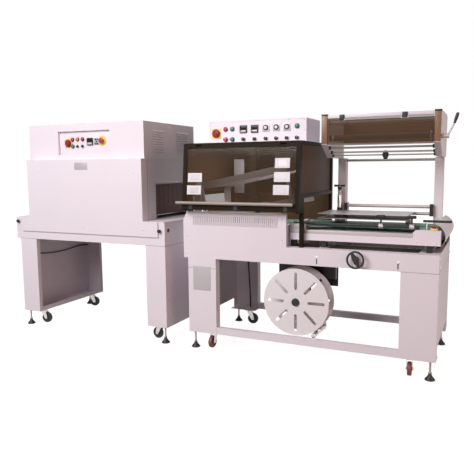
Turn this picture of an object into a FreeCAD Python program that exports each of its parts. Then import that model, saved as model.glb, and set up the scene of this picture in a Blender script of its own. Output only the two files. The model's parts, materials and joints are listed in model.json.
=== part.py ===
import FreeCAD, Part
import math
import os

# Shrink wrapping line: an L-bar sealer on the right feeds a heated shrink tunnel on the left.
# Millimetres. x runs to the right from the sealer's right side, so the line lies at negative x.
# y runs back from the sealer's front face and z up from the floor. At the end every piece is
# moved so that the origin is under the middle of the line, at floor level.

# Stock and fits
sheet = 2.0                 # covers and housings
plate = 3.0                 # legs, frames and brackets
base_plate = 5.0            # bottom plates that carry feet and casters
running = 0.05              # radial clearance of a shaft in its hole
seat_gap = 0.3              # gap between a moving piece and what it turns or slides on

# Casters and levelling feet
wheel_r = 40.0
wheel_width = 26.0
hub_half = 14.7
axle_r = 4.0
caster_lift = 3.0           # wheels clear the floor while the line stands on its feet
caster_height = 108.0
caster_trail = 22.0
caster_pin_r = 6.0
caster_flange = 64.0
caster_flange_t = 4.0
caster_nut_r = 10.0
caster_nut_t = 6.0
foot_r = 28.0
foot_height = 24.0
foot_stem_r = 6.0
foot_inset_x = 30.0
foot_inset_y = 30.0

# Sealer frame
sealer_length = 1542.0
sealer_depth = 749.0
sealer_top_z = 705.0
sealer_beam = 101.0
beam_width = 60.0
sealer_leg_width = 200.0
leg_return = 54.0
side_panel_z = 182.0        # lower edge of the end panels
stretcher_height = 45.0
stretcher_width = 30.0
sealer_caster_x = 145.0     # from the outer side of the leg
sealer_caster_y = 72.0
cross_beams_x = (216.0 - sealer_length, 653.0 - sealer_length, -661.0, -88.0)
cross_beam_width = 50.0
cross_beam_height = 60.0
long_beam_y = (200.0, 240.0)   # carries the scrap winder

# Apron and vent cover of the sealer's front
apron_overhang = 31.0       # past the left leg
cover_right_x = -867.0
cover_height = 200.0
cover_shoulder = 28.0       # chamfer at the upper left
vent_count = 45
vent_pitch = 13.0
vent_width = 4.0
vent_height = 58.0
vent_first_x = -1500.0
vent_z = 818.0
keyholes_x = (-678.0, -214.0)
keyhole_z = 650.0
keyhole_r = 8.0
keyhole_slot = 32.0
keyhole_slot_width = 7.0

# Smoked hood over the sealing station
hood_left_x = -1547.0
hood_right_x = -773.0
hood_back_y = 690.0
hood_top_z = 1335.0
hood_sill_z = 912.0
hood_mid_z = 1000.0         # products pass below this rail
hood_front_top_y = -6.0
hood_front_low_y = -46.0
hood_post = 30.0
hood_post_y = 20.0
hood_side_t = 20.0
hood_rail = 20.0
pane_t = 4.0
door_t = 12.0
door_height = 408.0
door_side_bar = 25.0
door_low_bar = 45.0
door_hinge_z = 1326.0
door_gap = 2.5
door_hinges_x = (-1440.0, -880.0)
hinge_width = 40.0
hinge_r = 7.0
hinge_pin_r = 4.0
pin_cover = 0.5             # leaf above the door's pins, kept off a tangent
door_lip = hinge_pin_r + pin_cover
hinge_play = 0.3            # radial play of the door's pins in their knuckles
hinge_notch = 14.0
handle_r = 10.0
handle_left_x = -1582.0
handle_right_x = -803.0
handle_rise = 42.0          # bar above the leaf's lower edge
handle_drop = door_height - handle_rise
handle_reach = 6.0

# Control box on the hood
control_left_x = -1495.0
control_right_x = -822.0
control_front_y = 240.0
control_depth = 290.0
control_height = 151.0

# Infeed
infeed_left_x = -866.0
infeed_front_y = 60.0
infeed_back_y = 486.0
rail_depth = 20.0
bed_margin = 4.0
bed_t = 10.0
rail_z = 747.0
rail_height = 40.0
rail_t = 6.0
housing_left_x = -148.0
housing_right_x = -2.0
housing_top_z = 831.0
housing_depth = 40.0
housing_chamfer = 14.0
belt_top_z = 830.0
belt_r = 24.0
belt_t = 2.0
belt_edges = ((110.0, 270.0), (300.0, 460.0))
infeed_belt_x = (-858.0, -26.0)
exit_belt_x = (-1532.0, -918.0)
nose_right_x = 20.0
nose_r = 75.0
nose_z = 792.0
side_bar_height = 22.0
side_bar_block = 100.0
side_bar_block_height = 56.0
guide_shaft_r = 9.0
guide_shaft_y = 96.0
guide_shaft_z = 845.0
guide_clamps_x = (-330.0, -160.0)
clamp_r = 18.0
cross_lever_z = 880.0
cross_lever_x = (-100.0, 50.0)
cross_lever_stand_x = -75.0

# Film stand: two posts, two cantilevered heads and the bars between them
post_width = 50.0
post_y = 500.0
post_depth = 60.0
posts_x = (-686.0, -86.0)
post_top_z = 1236.0
head_width = 34.0
heads_x = (-700.0, -63.0)
head_front_y = 150.0
head_top_z = 1488.0
head_knee_z = 1313.0
head_knee_y = 280.0
roller_r = 10.0
roller_pin_r = 4.0
guide_rollers_z = (890.0, 932.0)
roller_bracket = 20.0
guide_roller_y = 485.0
top_bar_y = (152.0, 164.0)
unwinder_rods = ((200.0, 1293.0, 6.0), (245.0, 1268.0, 5.0), (278.0, 1250.0, 4.0),
                 (200.0, 1440.0, 10.0), (215.0, 1352.0, 18.0))   # y, z, radius
perforator_x = -345.0
perforator_r = 26.0
flap_top_z = 1458.0
flap_low_z = 1309.0
flap_t = 3.0
flap_hinge_r = 3.0
flap_roll_r = 6.0
flap_hinges_x = (-578.0, -222.0)
lever_hub_r = 13.0
lever_z = 1346.0
lever_y = 185.0
lever_rod_r = 4.0
lever_hub_length = 40.0
lever_pin_r = 6.0
lever_pin_depth = 15.0
lever_knee = (36.0, 1413.0)
lever_tip = (53.0, 1470.0)
lever_grip_r = 8.0

# L-bar sealing jaws
jaw_pivot_x = -1496.0
jaw_pivot_z = 1060.0
jaw_pivot_r = 12.0
jaw_open = 11.3             # degrees, as stored
jaw_bracket_t = 10.0
jaw_front_y = 72.0
jaw_width = 22.0
jaw_back_y = 500.0
jaw_right_x = -878.0
jaw_bar_height = 40.0
jaw_rail_height = 40.0
base_bar_top_z = 832.0
base_bar_height = 34.0
column_x = (-1352.0, -1300.0)
column_y = (560.0, 610.0)

# Film forming plates and their height screw
former_x = (-720.0, -190.0)
former_y = (140.0, 470.0)
former_low_z = 872.0
former_gap = 26.0
former_t = 2.0
screw_x = -661.0
screw_y = 446.0
screw_r = 6.0
screw_top_z = 1060.0

# Scrap reel, its bracket, the dancer arm and the handwheel
reel_x = -813.0
reel_z = 370.0
reel_r = 206.0
reel_front_y = 20.0
reel_depth = 120.0
reel_bore_r = 15.0
reel_core_r = 24.0
winder_y = 200.0            # face of the plate that carries the winder
reel_slots = 8
reel_slot_in = 84.0
reel_slot_out = 172.0
reel_slot_width = 18.0
dancer_rollers = ((108.0, -202.0, 15.0), (146.0, -168.0, 12.0))
dancer_front_y = 40.0
dancer_pivot = (-700.0, 480.0)
dancer_pin_r = 8.0
dancer_collar_t = 5.0
screen_x = (-1000.0, -620.0)
screen_z = 480.0
wheel_x = -443.0
wheel_z = 660.0
handwheel_r = 52.0
handwheel_rim_r = 7.0
handwheel_y = -38.0
handwheel_shaft_r = 8.0

# Tunnel
tunnel_front_y = -10.0
tunnel_depth = sealer_depth + 1.0
tunnel_left_x = -3020.0
tunnel_right_x = -1711.0
tunnel_beam_z = 667.0
tunnel_deck_z = 828.0
tunnel_leg_width = 153.0
left_leg_inset = 35.0
leg_lip = 32.0
tunnel_caster_x = 108.0
tunnel_caster_y = 92.0
chamber_x = (-2895.0, -1889.0)
chamber_y = (40.0, 722.0)
chamber_top_z = 1243.0
tunnel_top_z = 1497.0
passage_y = (170.0, 604.0)
passage_top_z = 1081.0
cover_x = (-2878.0, -1875.0)
skirt_x = (-2955.0, -1759.0)
skirt_low_z = 725.0
panel_x = (-2626.0, -2168.0)
panel_z = (1279.0, 1448.0)
panel_recess = 18.0
louvre_rows = 9
louvre_pitch = 17.0
louvre_slot = 8.0
louvre_reach = 6.0
louvre_low_z = 1296.0
louvre_columns = ((150.0, 290.0), (470.0, 640.0))
conveyor_pitch = 65.0
conveyor_tube_r = 9.0
conveyor_z = 846.0
conveyor_end = 20.0
heater_r = 6.0
fan_r = 110.0
curtain_t = 2.0
curtain_strips = 7
curtain_slit = 3.0
curtain_pin_r = 4.0
curtain_tube_r = 7.0
curtain_inset = 14.0
eave = 30.0
tunnel_rows_z = (62.0, 110.0)
tunnel_lamps_x = (-2506.0, -2461.0, -2416.0)
tunnel_meters_x = (-2350.0, -2290.0)

# Round controls
knob_r = 10.0
controller_size = 50.0
timer_size = 48.0
timer_dial_r = 15.0
switch_plate_size = 60.0
control_columns = (-1378.0, -1329.0, -1249.0, -1170.0, -1092.0, -1021.0, -950.0, -883.0)
control_high_row = 97.0      # above the hood's roof
control_low_row = 30.0
device_shaft_r = 6.0
switch_plate_t = 2.0
switch_dial_t = 14.0
switch_grip = 16.0
switch_grip_t = 10.0
collar_t = 4.0
button_travel = 4.0
button_r = 13.0
switch_r = 24.0
stop_head_r = 18.0
stop_stem_r = 9.0
stop_head_t = 12.0
stop_base_t = 12.0
stop_travel = 5.0
stop_x = -39.0

# Cables inside the legs
cable_r = 5.0
tunnel_cable_points = ((-2977.0, 30.0, 560.0), (-2976.0, 170.0, 524.0), (-2975.0, 330.0, 508.0),
                       (-2976.0, 490.0, 514.0), (-2977.0, 620.0, 530.0), (-2977.0, 736.0, 520.0))
sealer_cable_run = ((102.0, 11.0, 603.0), (104.0, 13.0, 480.0), (112.0, 12.0, 360.0),
                    (118.0, 12.0, 240.0), (122.0, 11.0, 116.4))   # in from the left and the back, height

leg_z = caster_lift + caster_height
sealer_seam_z = sealer_top_z - sealer_beam
axle_z = caster_lift + wheel_r
belt_low_z = belt_top_z - 2 * belt_r
belt_axis_z = belt_top_z - belt_r
V = FreeCAD.Vector
pieces = {}


# Basic shapes. A pair is (low, high).
def around(middle, width):
    return (middle - width / 2, middle + width / 2)


def box(x, y, z):
    return Part.makeBox(x[1] - x[0], y[1] - y[0], z[1] - z[0], V(x[0], y[0], z[0]))


def bar_x(x, y, z, r):
    return Part.makeCylinder(r, x[1] - x[0], V(x[0], y, z), V(1, 0, 0))


def bar_y(x, y, z, r):
    return Part.makeCylinder(r, y[1] - y[0], V(x, y[0], z), V(0, 1, 0))


def bar_z(x, y, z, r):
    return Part.makeCylinder(r, z[1] - z[0], V(x, y, z[0]), V(0, 0, 1))


def prism(points, length):
    wire = Part.makePolygon(points + [points[0]])
    return Part.Face(wire).extrude(length)


def prism_x(points, x):
    return prism([V(x[0], y, z) for y, z in points], V(x[1] - x[0], 0, 0))


def prism_y(points, y):
    return prism([V(x, y[0], z) for x, z in points], V(0, y[1] - y[0], 0))


def join(shapes):
    return shapes[0].multiFuse(shapes[1:]).removeSplitter()


def apart(shapes):
    # The same shapes as touching solids that share no volume
    solids = []
    for shape in shapes:
        rest = shape.cut(Part.makeCompound(solids)) if solids else shape
        solids += rest.Solids
    return solids


def slot_y(x, y, z, width):
    # A vertical slot with round ends through a front sheet
    ends = [bar_y(x, y, end, width / 2) for end in z]
    return join([box((x - width / 2, x + width / 2), y, z)] + ends)


def about_z(shape, angle, x, y):
    turned = shape.copy()
    turned.rotate(V(0, 0, 0), V(0, 0, 1), angle)
    turned.translate(V(x, y, 0))
    return turned


def keep(name, shapes):
    if not isinstance(shapes, list):
        shapes = [shapes]
    solids = [solid for shape in shapes for solid in shape.Solids]
    pieces[name] = solids[0] if len(solids) == 1 else Part.makeCompound(solids)


# Caster with a swivelling fork that trails along +x before it is turned
def caster_fork():
    side_out = hub_half + seat_gap + plate
    top_z = leg_z - caster_flange_t - seat_gap
    race_z = top_z - 12
    cheeks = []
    for side in (-1, 1):
        inner = side * (hub_half + seat_gap)
        outer = side * side_out
        outline = [(caster_trail - 9, axle_z - 9), (caster_trail + 9, axle_z - 9),
                   (caster_trail + 9, axle_z + 9), (20, race_z - plate), (-20, race_z - plate)]
        cheeks.append(prism_y(outline, (min(inner, outer), max(inner, outer))))
    bridge = box((-20, 20), (-side_out, side_out), (race_z - plate, race_z))
    race = bar_z(0, 0, (race_z, top_z), 20)
    nut_z = leg_z + base_plate + seat_gap
    pin = bar_z(0, 0, (top_z, nut_z), caster_pin_r)
    nut = bar_z(0, 0, (nut_z, nut_z + caster_nut_t), caster_nut_r)
    axle = bar_y(caster_trail, (-side_out, side_out), axle_z, axle_r)
    return join(cheeks + [bridge, race, pin, nut, axle])


def caster_wheel():
    half = wheel_width / 2
    crown = 4.0
    recess_r = wheel_r - 11
    recess = 4.0
    points = [(axle_r + running, -hub_half), (12, -hub_half), (12, -half + recess),
              (recess_r, -half + recess), (recess_r + 2, -half), (wheel_r - crown, -half),
              (wheel_r, -half + crown), (wheel_r, half - crown), (wheel_r - crown, half),
              (recess_r + 2, half), (recess_r, half - recess), (12, half - recess),
              (12, hub_half), (axle_r + running, hub_half)]
    outline = [V(caster_trail + r, y, axle_z) for r, y in points]
    face = Part.Face(Part.makePolygon(outline + [outline[0]]))
    return face.revolve(V(caster_trail, 0, axle_z), V(0, 1, 0), 360)


def caster_seat(x, y):
    # Flange under a leg's base plate, with the hole for the swivel pin
    half = caster_flange / 2
    return box((x - half, x + half), (y - half, y + half), (leg_z - caster_flange_t, leg_z))


def caster_hole(x, y):
    return bar_z(x, y, (leg_z - caster_flange_t, leg_z + base_plate), caster_pin_r + running)


def levelling_foot(x, y):
    cone = Part.makeCone(foot_r, foot_stem_r + 3, foot_height - 6, V(x, y, 6))
    pad = bar_z(x, y, (0, 6), foot_r)
    stem = bar_z(x, y, (foot_height, leg_z), foot_stem_r)
    nut = bar_z(x, y, (leg_z - 8, leg_z), 2 * foot_stem_r)
    return join([cone, pad, stem, nut])


def caster_places():
    left = -sealer_length
    sealer_x = (left + sealer_caster_x, -sealer_caster_x)
    sealer_y = (sealer_caster_y, sealer_depth - sealer_caster_y)
    tunnel_x = (tunnel_left_x + left_leg_inset + tunnel_caster_x, tunnel_right_x - tunnel_caster_x)
    tunnel_y = (tunnel_front_y + tunnel_caster_y, tunnel_front_y + tunnel_depth - tunnel_caster_y)
    return [(sealer_x[0], sealer_y[0], 268), (sealer_x[1], sealer_y[0], 276),
            (sealer_x[0], sealer_y[1], 12), (sealer_x[1], sealer_y[1], 205),
            (tunnel_x[0], tunnel_y[0], 8), (tunnel_x[1], tunnel_y[0], 172),
            (tunnel_x[0], tunnel_y[1], 20), (tunnel_x[1], tunnel_y[1], 190)]


def foot_places():
    sealer_x = (-sealer_length + foot_inset_x, -foot_inset_x)
    sealer_y = (foot_inset_y, sealer_depth - foot_inset_y)
    tunnel_x = (tunnel_left_x + left_leg_inset + foot_inset_x, tunnel_right_x - foot_inset_x)
    tunnel_y = (tunnel_front_y + foot_inset_y, tunnel_front_y + tunnel_depth - foot_inset_y)
    return [(x, y) for x in sealer_x for y in sealer_y] + [(x, y) for x in tunnel_x for y in tunnel_y]


def make_casters_and_feet():
    for number, (x, y, angle) in enumerate(caster_places(), 1):
        keep("caster_fork_%d" % number, about_z(caster_fork(), angle, x, y))
        keep("caster_wheel_%d" % number, about_z(caster_wheel(), angle, x, y))
    keep("levelling_feet", [levelling_foot(x, y) for x, y in foot_places()])


# Frame ring of sheet channel, open towards the middle
def channel_ring(x, y, z, width):
    whole = box(x, y, z)
    middle = box((x[0] + width, x[1] - width), (y[0] + width, y[1] - width), z)
    hollow = box((x[0] + plate, x[1] - plate), (y[0] + plate, y[1] - plate), (z[0] + plate, z[1] - plate))
    return whole.cut(middle).cut(hollow)


def sealer_corner_leg(x, front):
    # Channel leg with its web at the front or the back of the machine
    web = (0, plate) if front else (sealer_depth - plate, sealer_depth)
    reach = (0, leg_return) if front else (sealer_depth - leg_return, sealer_depth)
    z = (leg_z, sealer_seam_z)
    face = box(x, web, z)
    returns = [box((edge, edge + plate), reach, z) for edge in (x[0], x[1] - plate)]
    foot_depth = sealer_caster_y + caster_flange / 2
    floor_y = (0, foot_depth) if front else (sealer_depth - foot_depth, sealer_depth)
    floor = box(x, floor_y, (leg_z, leg_z + base_plate))
    return [face, floor] + returns


def make_sealer_legs():
    spans = ((-sealer_length, -sealer_length + sealer_leg_width), (-sealer_leg_width, 0))
    parts = []
    for x, outer in zip(spans, (spans[0][0], -plate)):
        parts += sealer_corner_leg(x, True) + sealer_corner_leg(x, False)
        parts.append(box((outer, outer + plate), (0, sealer_depth), (side_panel_z, sealer_seam_z)))
    inner = (spans[0][1], spans[1][0])
    z = (leg_z, leg_z + stretcher_height)
    parts.append(box(inner, (2, 2 + stretcher_width), z))
    parts.append(box(inner, (sealer_depth - 2 - stretcher_width, sealer_depth - 2), z))
    seats = caster_places()[:4]
    parts += [caster_seat(x, y) for x, y, angle in seats]
    legs = join(parts)
    for x, y, angle in seats:
        legs = legs.cut(caster_hole(x, y))
    keep("sealer_legs", legs)


def make_sealer_frame():
    x = (-sealer_length, 0)
    ring = channel_ring(x, (sheet, sealer_depth), (sealer_seam_z, sealer_top_z), beam_width)
    inner_y = (sheet + beam_width, sealer_depth - beam_width)
    z = (sealer_top_z - cross_beam_height, sealer_top_z)
    beams = [box(around(middle, cross_beam_width), inner_y, z) for middle in cross_beams_x]
    beams.append(box((x[0] + beam_width, x[1] - beam_width), long_beam_y, z))
    hole = bar_y(wheel_x, (0, beam_width), wheel_z, handwheel_shaft_r + 2)
    keep("sealer_top_frame", join([ring] + beams).cut(hole))


def make_apron():
    left = -sealer_length - apron_overhang
    z = (sealer_seam_z, sealer_top_z)
    face = box((left, 0), (0, sheet), z)
    back = box((left, left + sheet), (0, leg_return), z)
    tab = box((left, -sealer_length), (leg_return - sheet, leg_return), z)
    apron = join([face, back, tab])
    through = (-1, sheet + 1)
    cuts = [bar_y(wheel_x, through, wheel_z, handwheel_shaft_r + running)]
    for x in keyholes_x:
        cuts.append(bar_y(x, through, keyhole_z, keyhole_r))
        cuts.append(slot_y(x, through, (keyhole_z - keyhole_slot, keyhole_z), keyhole_slot_width))
    keep("sealer_apron", apron.cut(join(cuts)))


def make_vent_cover():
    left = -sealer_length - apron_overhang
    top = sealer_top_z + cover_height
    knee = top - 2 * cover_shoulder
    depth = (0, hood_post_y - 1)
    outline = [(left, sealer_top_z), (cover_right_x, sealer_top_z), (cover_right_x, top),
               (left + cover_shoulder, top), (left, knee)]
    inner = [(left + sheet, sealer_top_z + sheet), (cover_right_x - sheet, sealer_top_z + sheet),
             (cover_right_x - sheet, top - sheet), (left + cover_shoulder + sheet / 2, top - sheet),
             (left + sheet, knee - sheet / 2)]
    tray = prism_y(outline, depth).cut(prism_y(inner, (sheet, depth[1])))
    slots = []
    for index in range(vent_count):
        x = vent_first_x + index * vent_pitch
        slots.append(box((x, x + vent_width), (-1, sheet + 1), (vent_z, vent_z + vent_height)))
    keep("vent_cover", tray.cut(Part.makeCompound(slots)))


# Hood: two end frames, header, back panel and roof, with smoked panes
def hood_front(z):
    share = (z - hood_sill_z) / (hood_top_z - hood_sill_z)
    return hood_front_low_y + share * (hood_front_top_y - hood_front_low_y)


def hood_window():
    low = hood_mid_z + hood_rail
    high = hood_top_z - hood_rail
    return [(hood_front(low) + hood_rail, low), (hood_front(high) + hood_rail, high),
            (hood_back_y - hood_post, high), (hood_back_y - hood_post, low)]


def make_hood():
    sill_back = hood_post_y + hood_post
    back_in = hood_back_y - hood_post
    outline = [(hood_front_low_y, hood_sill_z), (hood_front_top_y, hood_top_z),
               (hood_back_y, hood_top_z), (hood_back_y, sealer_top_z), (back_in, sealer_top_z),
               (back_in, hood_mid_z), (sill_back, hood_mid_z), (sill_back, sealer_top_z),
               (hood_post_y, sealer_top_z), (hood_post_y, hood_sill_z)]
    frames = []
    panes = []
    for x in ((hood_left_x, hood_left_x + hood_side_t), (hood_right_x - hood_side_t, hood_right_x)):
        frames.append(prism_x(outline, x).cut(prism_x(hood_window(), x)))
        panes.append(prism_x(hood_window(), around((x[0] + x[1]) / 2, pane_t)))
    inside = (hood_left_x + hood_side_t, hood_right_x - hood_side_t)
    header_back = hood_front_top_y + hood_rail
    header = box(inside, (hood_front_top_y, header_back), (hood_top_z - hood_rail, hood_top_z))
    roof = box(inside, (header_back, hood_back_y), (hood_top_z - sheet, hood_top_z))
    back = box(inside, (hood_back_y - sheet, hood_back_y), (hood_mid_z, hood_top_z - sheet))
    axis_y = door_axis()[0]
    knuckles = []
    for x in door_hinges_x:
        span = around(x, hinge_width)
        arm = box(span, (axis_y, hood_front_top_y), (door_hinge_z - hinge_r, door_hinge_z + hinge_r))
        knuckle = join([arm, bar_x(span, axis_y, door_hinge_z, hinge_r)])
        knuckles.append(knuckle.cut(bar_x(span, axis_y, door_hinge_z, hinge_pin_r + hinge_play)))
    keep("hood_frame", join(frames + [header, roof, back] + knuckles))
    keep("hood_panes", panes)


def door_tilt():
    rise = hood_top_z - hood_sill_z
    return math.degrees(math.atan2(hood_front_top_y - hood_front_low_y, rise))


def door_axis():
    return (hood_front_top_y - door_gap - door_t / 2, door_hinge_z)


def on_door(shape):
    # Door pieces are drawn hanging straight down from the hinge line, then leaned out
    axis_y, axis_z = door_axis()
    leaned = shape.copy()
    leaned.rotate(V(0, 0, 0), V(1, 0, 0), -door_tilt())
    leaned.translate(V(0, axis_y, axis_z))
    return leaned


def make_door():
    depth = (-door_t / 2, door_t / 2)
    x = (hood_left_x, hood_right_x)
    window_x = (x[0] + door_side_bar, x[1] - door_side_bar)
    window_z = (-door_height + door_low_bar, -door_side_bar)
    leaf = box(x, depth, (-door_height, door_lip)).cut(box(window_x, depth, window_z))
    for middle in door_hinges_x:
        notch = around(middle, hinge_width + 4 * seat_gap)
        leaf = leaf.cut(box(notch, depth, (-hinge_notch, door_lip)))
    pins = [bar_x(around(middle, hinge_width + 2 * hinge_notch), 0, 0, hinge_pin_r)
            for middle in door_hinges_x]
    pane = box(window_x, (-pane_t / 2, pane_t / 2), window_z)
    bar_y_place = -door_t / 2 - handle_reach - handle_r
    grip = bar_x((handle_left_x, handle_right_x), bar_y_place, -handle_drop, handle_r)
    stands_x = (hood_left_x + 60, (hood_left_x + handle_right_x) / 2, handle_right_x - 50)
    stands = [bar_y(x_stand, (bar_y_place, -door_t / 2), -handle_drop, handle_r / 2) for x_stand in stands_x]
    keep("door_frame", on_door(join([leaf] + pins)))
    keep("door_pane", on_door(pane))
    feet = [box(around(x_stand, 24), (-door_t / 2 - 1, -door_t / 2), (-door_height + 2, -handle_drop))
            for x_stand in stands_x]
    keep("door_handle", on_door(join([grip] + stands + feet)))


# Controls on a front panel
def panel_round(x, front_y, z, r, reach):
    return bar_y(x, (front_y - reach, front_y), z, r)


def panel_block(x, front_y, z, size, reach):
    return box(around(x, size), (front_y - reach, front_y), around(z, size))


def device_hole(x, front_y, z):
    # Through a panel sheet, for the shaft of a switch or a button
    return bar_y(x, (front_y, front_y + 2 * plate), z, device_shaft_r + running)


def rotary_switch(x, front_y, z, r):
    face = front_y - switch_plate_t - seat_gap
    dial = bar_y(x, (face - switch_dial_t, face), z, r)
    grip = box((x - r + 4, x + r - 4), (face - switch_dial_t - switch_grip, face - switch_dial_t),
               around(z, switch_grip_t))
    shaft = bar_y(x, (face, front_y + plate), z, device_shaft_r)
    return join([dial, grip, shaft])


def switch_plate(x, front_y, z, size):
    seat = panel_block(x, front_y, z, size, switch_plate_t)
    return seat.cut(bar_y(x, (front_y - switch_plate_t, front_y), z, device_shaft_r + running))


def button_collar(x, front_y, z, r):
    ring = panel_round(x, front_y, z, r, collar_t)
    return ring.cut(bar_y(x, (front_y - collar_t, front_y), z, device_shaft_r + running))


def push_button(x, front_y, z, r, head_t):
    face = front_y - collar_t - button_travel - seat_gap
    head = bar_y(x, (face - head_t, face), z, r)
    return join([head, bar_y(x, (face, front_y + plate), z, device_shaft_r)])


def sealer_switch_place():
    return (control_left_x + 50.0, control_front_y + sheet / 2, hood_top_z + 71.0)


def button_places():
    z = hood_top_z + control_low_row
    front_y = control_front_y + sheet / 2
    return [(x, front_y, z) for x in control_columns[:2]]


def make_control_box():
    x = (control_left_x, control_right_x)
    y = (control_front_y, control_front_y + control_depth)
    z = (hood_top_z, hood_top_z + control_height)
    rim = 6.0
    front = plate + sheet / 2
    hollow = box((x[0] + sheet, x[1] - sheet), (y[0] + front, y[1] - sheet), (z[0] + sheet, z[1] - sheet))
    recess = box((x[0] + rim, x[1] - rim), (y[0], y[0] + sheet / 2), (z[0] + rim, z[1] - rim))
    shell = box(x, y, z).cut(hollow).cut(recess)
    holes = [device_hole(*place) for place in [sealer_switch_place()] + button_places()]
    keep("control_box", shell.cut(Part.makeCompound(holes)))


def make_box_controls():
    front_y = control_front_y + sheet / 2
    high = hood_top_z + control_high_row
    low = hood_top_z + control_low_row
    shapes = [panel_round(x, front_y, high, button_r, 12) for x in control_columns[:2]]
    shapes += [button_collar(x, y, z, button_r) for x, y, z in button_places()]
    shapes += [panel_block(x, front_y, high - 4, controller_size, 8) for x in control_columns[2:4]]
    for x in control_columns[4:7]:
        dial = panel_round(x, front_y - 4, high, timer_dial_r, 12)
        shapes.append(join([panel_block(x, front_y, high - 4, timer_size, 4), dial]))
    shapes.append(panel_round(control_columns[7], front_y, high + 4, button_r, 12))
    for x in control_columns[2:]:
        knob = panel_round(x, front_y - 4, low, knob_r, 16)
        shapes.append(join([panel_round(x, front_y, low, knob_r + 3, 4), knob]))
    shapes.append(switch_plate(*sealer_switch_place(), switch_plate_size))
    keep("box_controls", shapes)
    keep("sealer_main_switch", rotary_switch(*sealer_switch_place(), switch_r))
    for name, place in zip(("stop_button", "start_button"), button_places()):
        keep(name, push_button(*place, knob_r, 9))


# Infeed conveyor, its belts and the exit belts under the hood
def belt_loop(x, y):
    shapes = []
    for r in (belt_r, belt_r - belt_t):
        shapes.append(join([box((x[0] + belt_r, x[1] - belt_r), y, around(belt_axis_z, 2 * r)),
                            bar_y(x[0] + belt_r, y, belt_axis_z, r),
                            bar_y(x[1] - belt_r, y, belt_axis_z, r)]))
    return shapes[0].cut(shapes[1])


def belt_bed(x, low_z):
    # Slider bed running through both belts, with end rolls and two side plates
    roll_r = belt_r - belt_t - seat_gap
    y = (belt_edges[0][0] - bed_margin, belt_edges[1][1] + bed_margin)
    rolls = [bar_y(end, y, belt_axis_z, roll_r) for end in (x[0] + belt_r, x[1] - belt_r)]
    bed = box((x[0] + belt_r, x[1] - belt_r), y, (belt_axis_z - bed_t, belt_axis_z))
    sides_x = (x[0] + belt_r / 2, x[1] - belt_r / 2)
    sides = [box(sides_x, (y[0] - plate, y[0]), (low_z, belt_axis_z)),
             box(sides_x, (y[1], y[1] + plate), (low_z, belt_axis_z))]
    return rolls + [bed] + sides


def bed_feet(places_x, z):
    y = (belt_edges[0][0] - bed_margin - plate, belt_edges[1][1] + bed_margin + plate)
    feet = []
    for x in places_x:
        feet.append(box(around(x, 30), (y[0], y[0] + 30), z))
        feet.append(box(around(x, 30), (y[1] - 30, y[1]), z))
    return feet


def make_infeed():
    y = (infeed_front_y, infeed_back_y)
    wall_x = (housing_left_x, housing_right_x)
    deep = (y[0], y[0] + housing_depth)
    rail_x = (infeed_left_x, housing_left_x)
    flange_y = (y[0] + sheet, y[0] + rail_depth)
    rail = [box(rail_x, (y[0], y[0] + sheet), (rail_z, rail_z + rail_height)),
            box(rail_x, flange_y, (rail_z, rail_z + sheet)),
            box(rail_x, flange_y, (rail_z + rail_height - sheet, rail_z + rail_height))]
    back_rail = box((infeed_left_x, wall_x[1]), (y[1] - rail_t, y[1]), (rail_z, belt_top_z))
    outline = [(wall_x[0], rail_z), (wall_x[1], rail_z), (wall_x[1], housing_top_z),
               (wall_x[0] + housing_chamfer, housing_top_z), (wall_x[0], housing_top_z - housing_chamfer)]
    inner = [(wall_x[0] + sheet, rail_z + sheet), (wall_x[1] - sheet, rail_z + sheet),
             (wall_x[1] - sheet, housing_top_z - sheet),
             (wall_x[0] + housing_chamfer + sheet / 2, housing_top_z - sheet),
             (wall_x[0] + sheet, housing_top_z - housing_chamfer - sheet / 2)]
    housing = prism_y(outline, deep).cut(prism_y(inner, (deep[0] + sheet, deep[1])))
    ties = []
    for x in posts_x:
        span = (x, x + post_width)
        tie_front = deep[1] if x > housing_left_x else y[0] + sheet
        ties.append(box(span, (tie_front, y[1] - rail_t), (rail_z, rail_z + sheet)))
        ties.append(box((x + 10, x + 40), (y[0] + rail_depth, y[0] + 60), (sealer_top_z, rail_z)))
        ties.append(box((x + 10, x + 40), (y[1] - 60, y[1]), (sealer_top_z, rail_z)))
    end_x = (infeed_left_x, infeed_left_x + 30)
    ties.append(box(end_x, (y[0] + sheet, y[1] - rail_t), (rail_z, rail_z + sheet)))
    ties.append(box(end_x, (y[0] + rail_depth, y[0] + 60), (sealer_top_z, rail_z)))
    bed = belt_bed(infeed_belt_x, rail_z + sheet)
    table = apart(bed + rail + [back_rail] + ties)
    exit_bed = belt_bed(exit_belt_x, belt_low_z - bed_margin)
    exit_z = (sealer_top_z, belt_low_z - bed_margin)
    feet_x = (cross_beams_x[0], exit_belt_x[0] + 30)
    housing_top = housing.cut(estop_bore())
    exit_table = apart(exit_bed + bed_feet(feet_x, exit_z))
    keep("infeed_table", table + exit_table + [housing_top, conveyor_nose(), estop_base()])
    keep("conveyor_belts", [belt_loop(x, span) for x in (infeed_belt_x, exit_belt_x) for span in belt_edges])


def conveyor_nose():
    # Rounded guard over the right end of the conveyor, on two half-round ribs
    centre_x = nose_right_x - nose_r
    left = posts_x[1] + post_width + 2
    y = (infeed_front_y + housing_depth, sealer_depth - 4)
    guard = bar_y(centre_x, y, nose_z, nose_r).cut(bar_y(centre_x, y, nose_z, nose_r - sheet))
    shapes = [guard]
    for rib_y in ((infeed_back_y + 1, infeed_back_y + 1 + plate), (y[1] - plate, y[1])):
        shapes.append(bar_y(centre_x, rib_y, nose_z, nose_r - sheet / 2))
        shapes.append(box((left, -sheet), rib_y, (sealer_top_z, nose_z)))
    half = box((left, nose_right_x), y, (sealer_top_z, nose_z + nose_r))
    return join(shapes).common(half)


def estop_place():
    return (stop_x, infeed_front_y + housing_depth / 2, housing_top_z)


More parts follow.
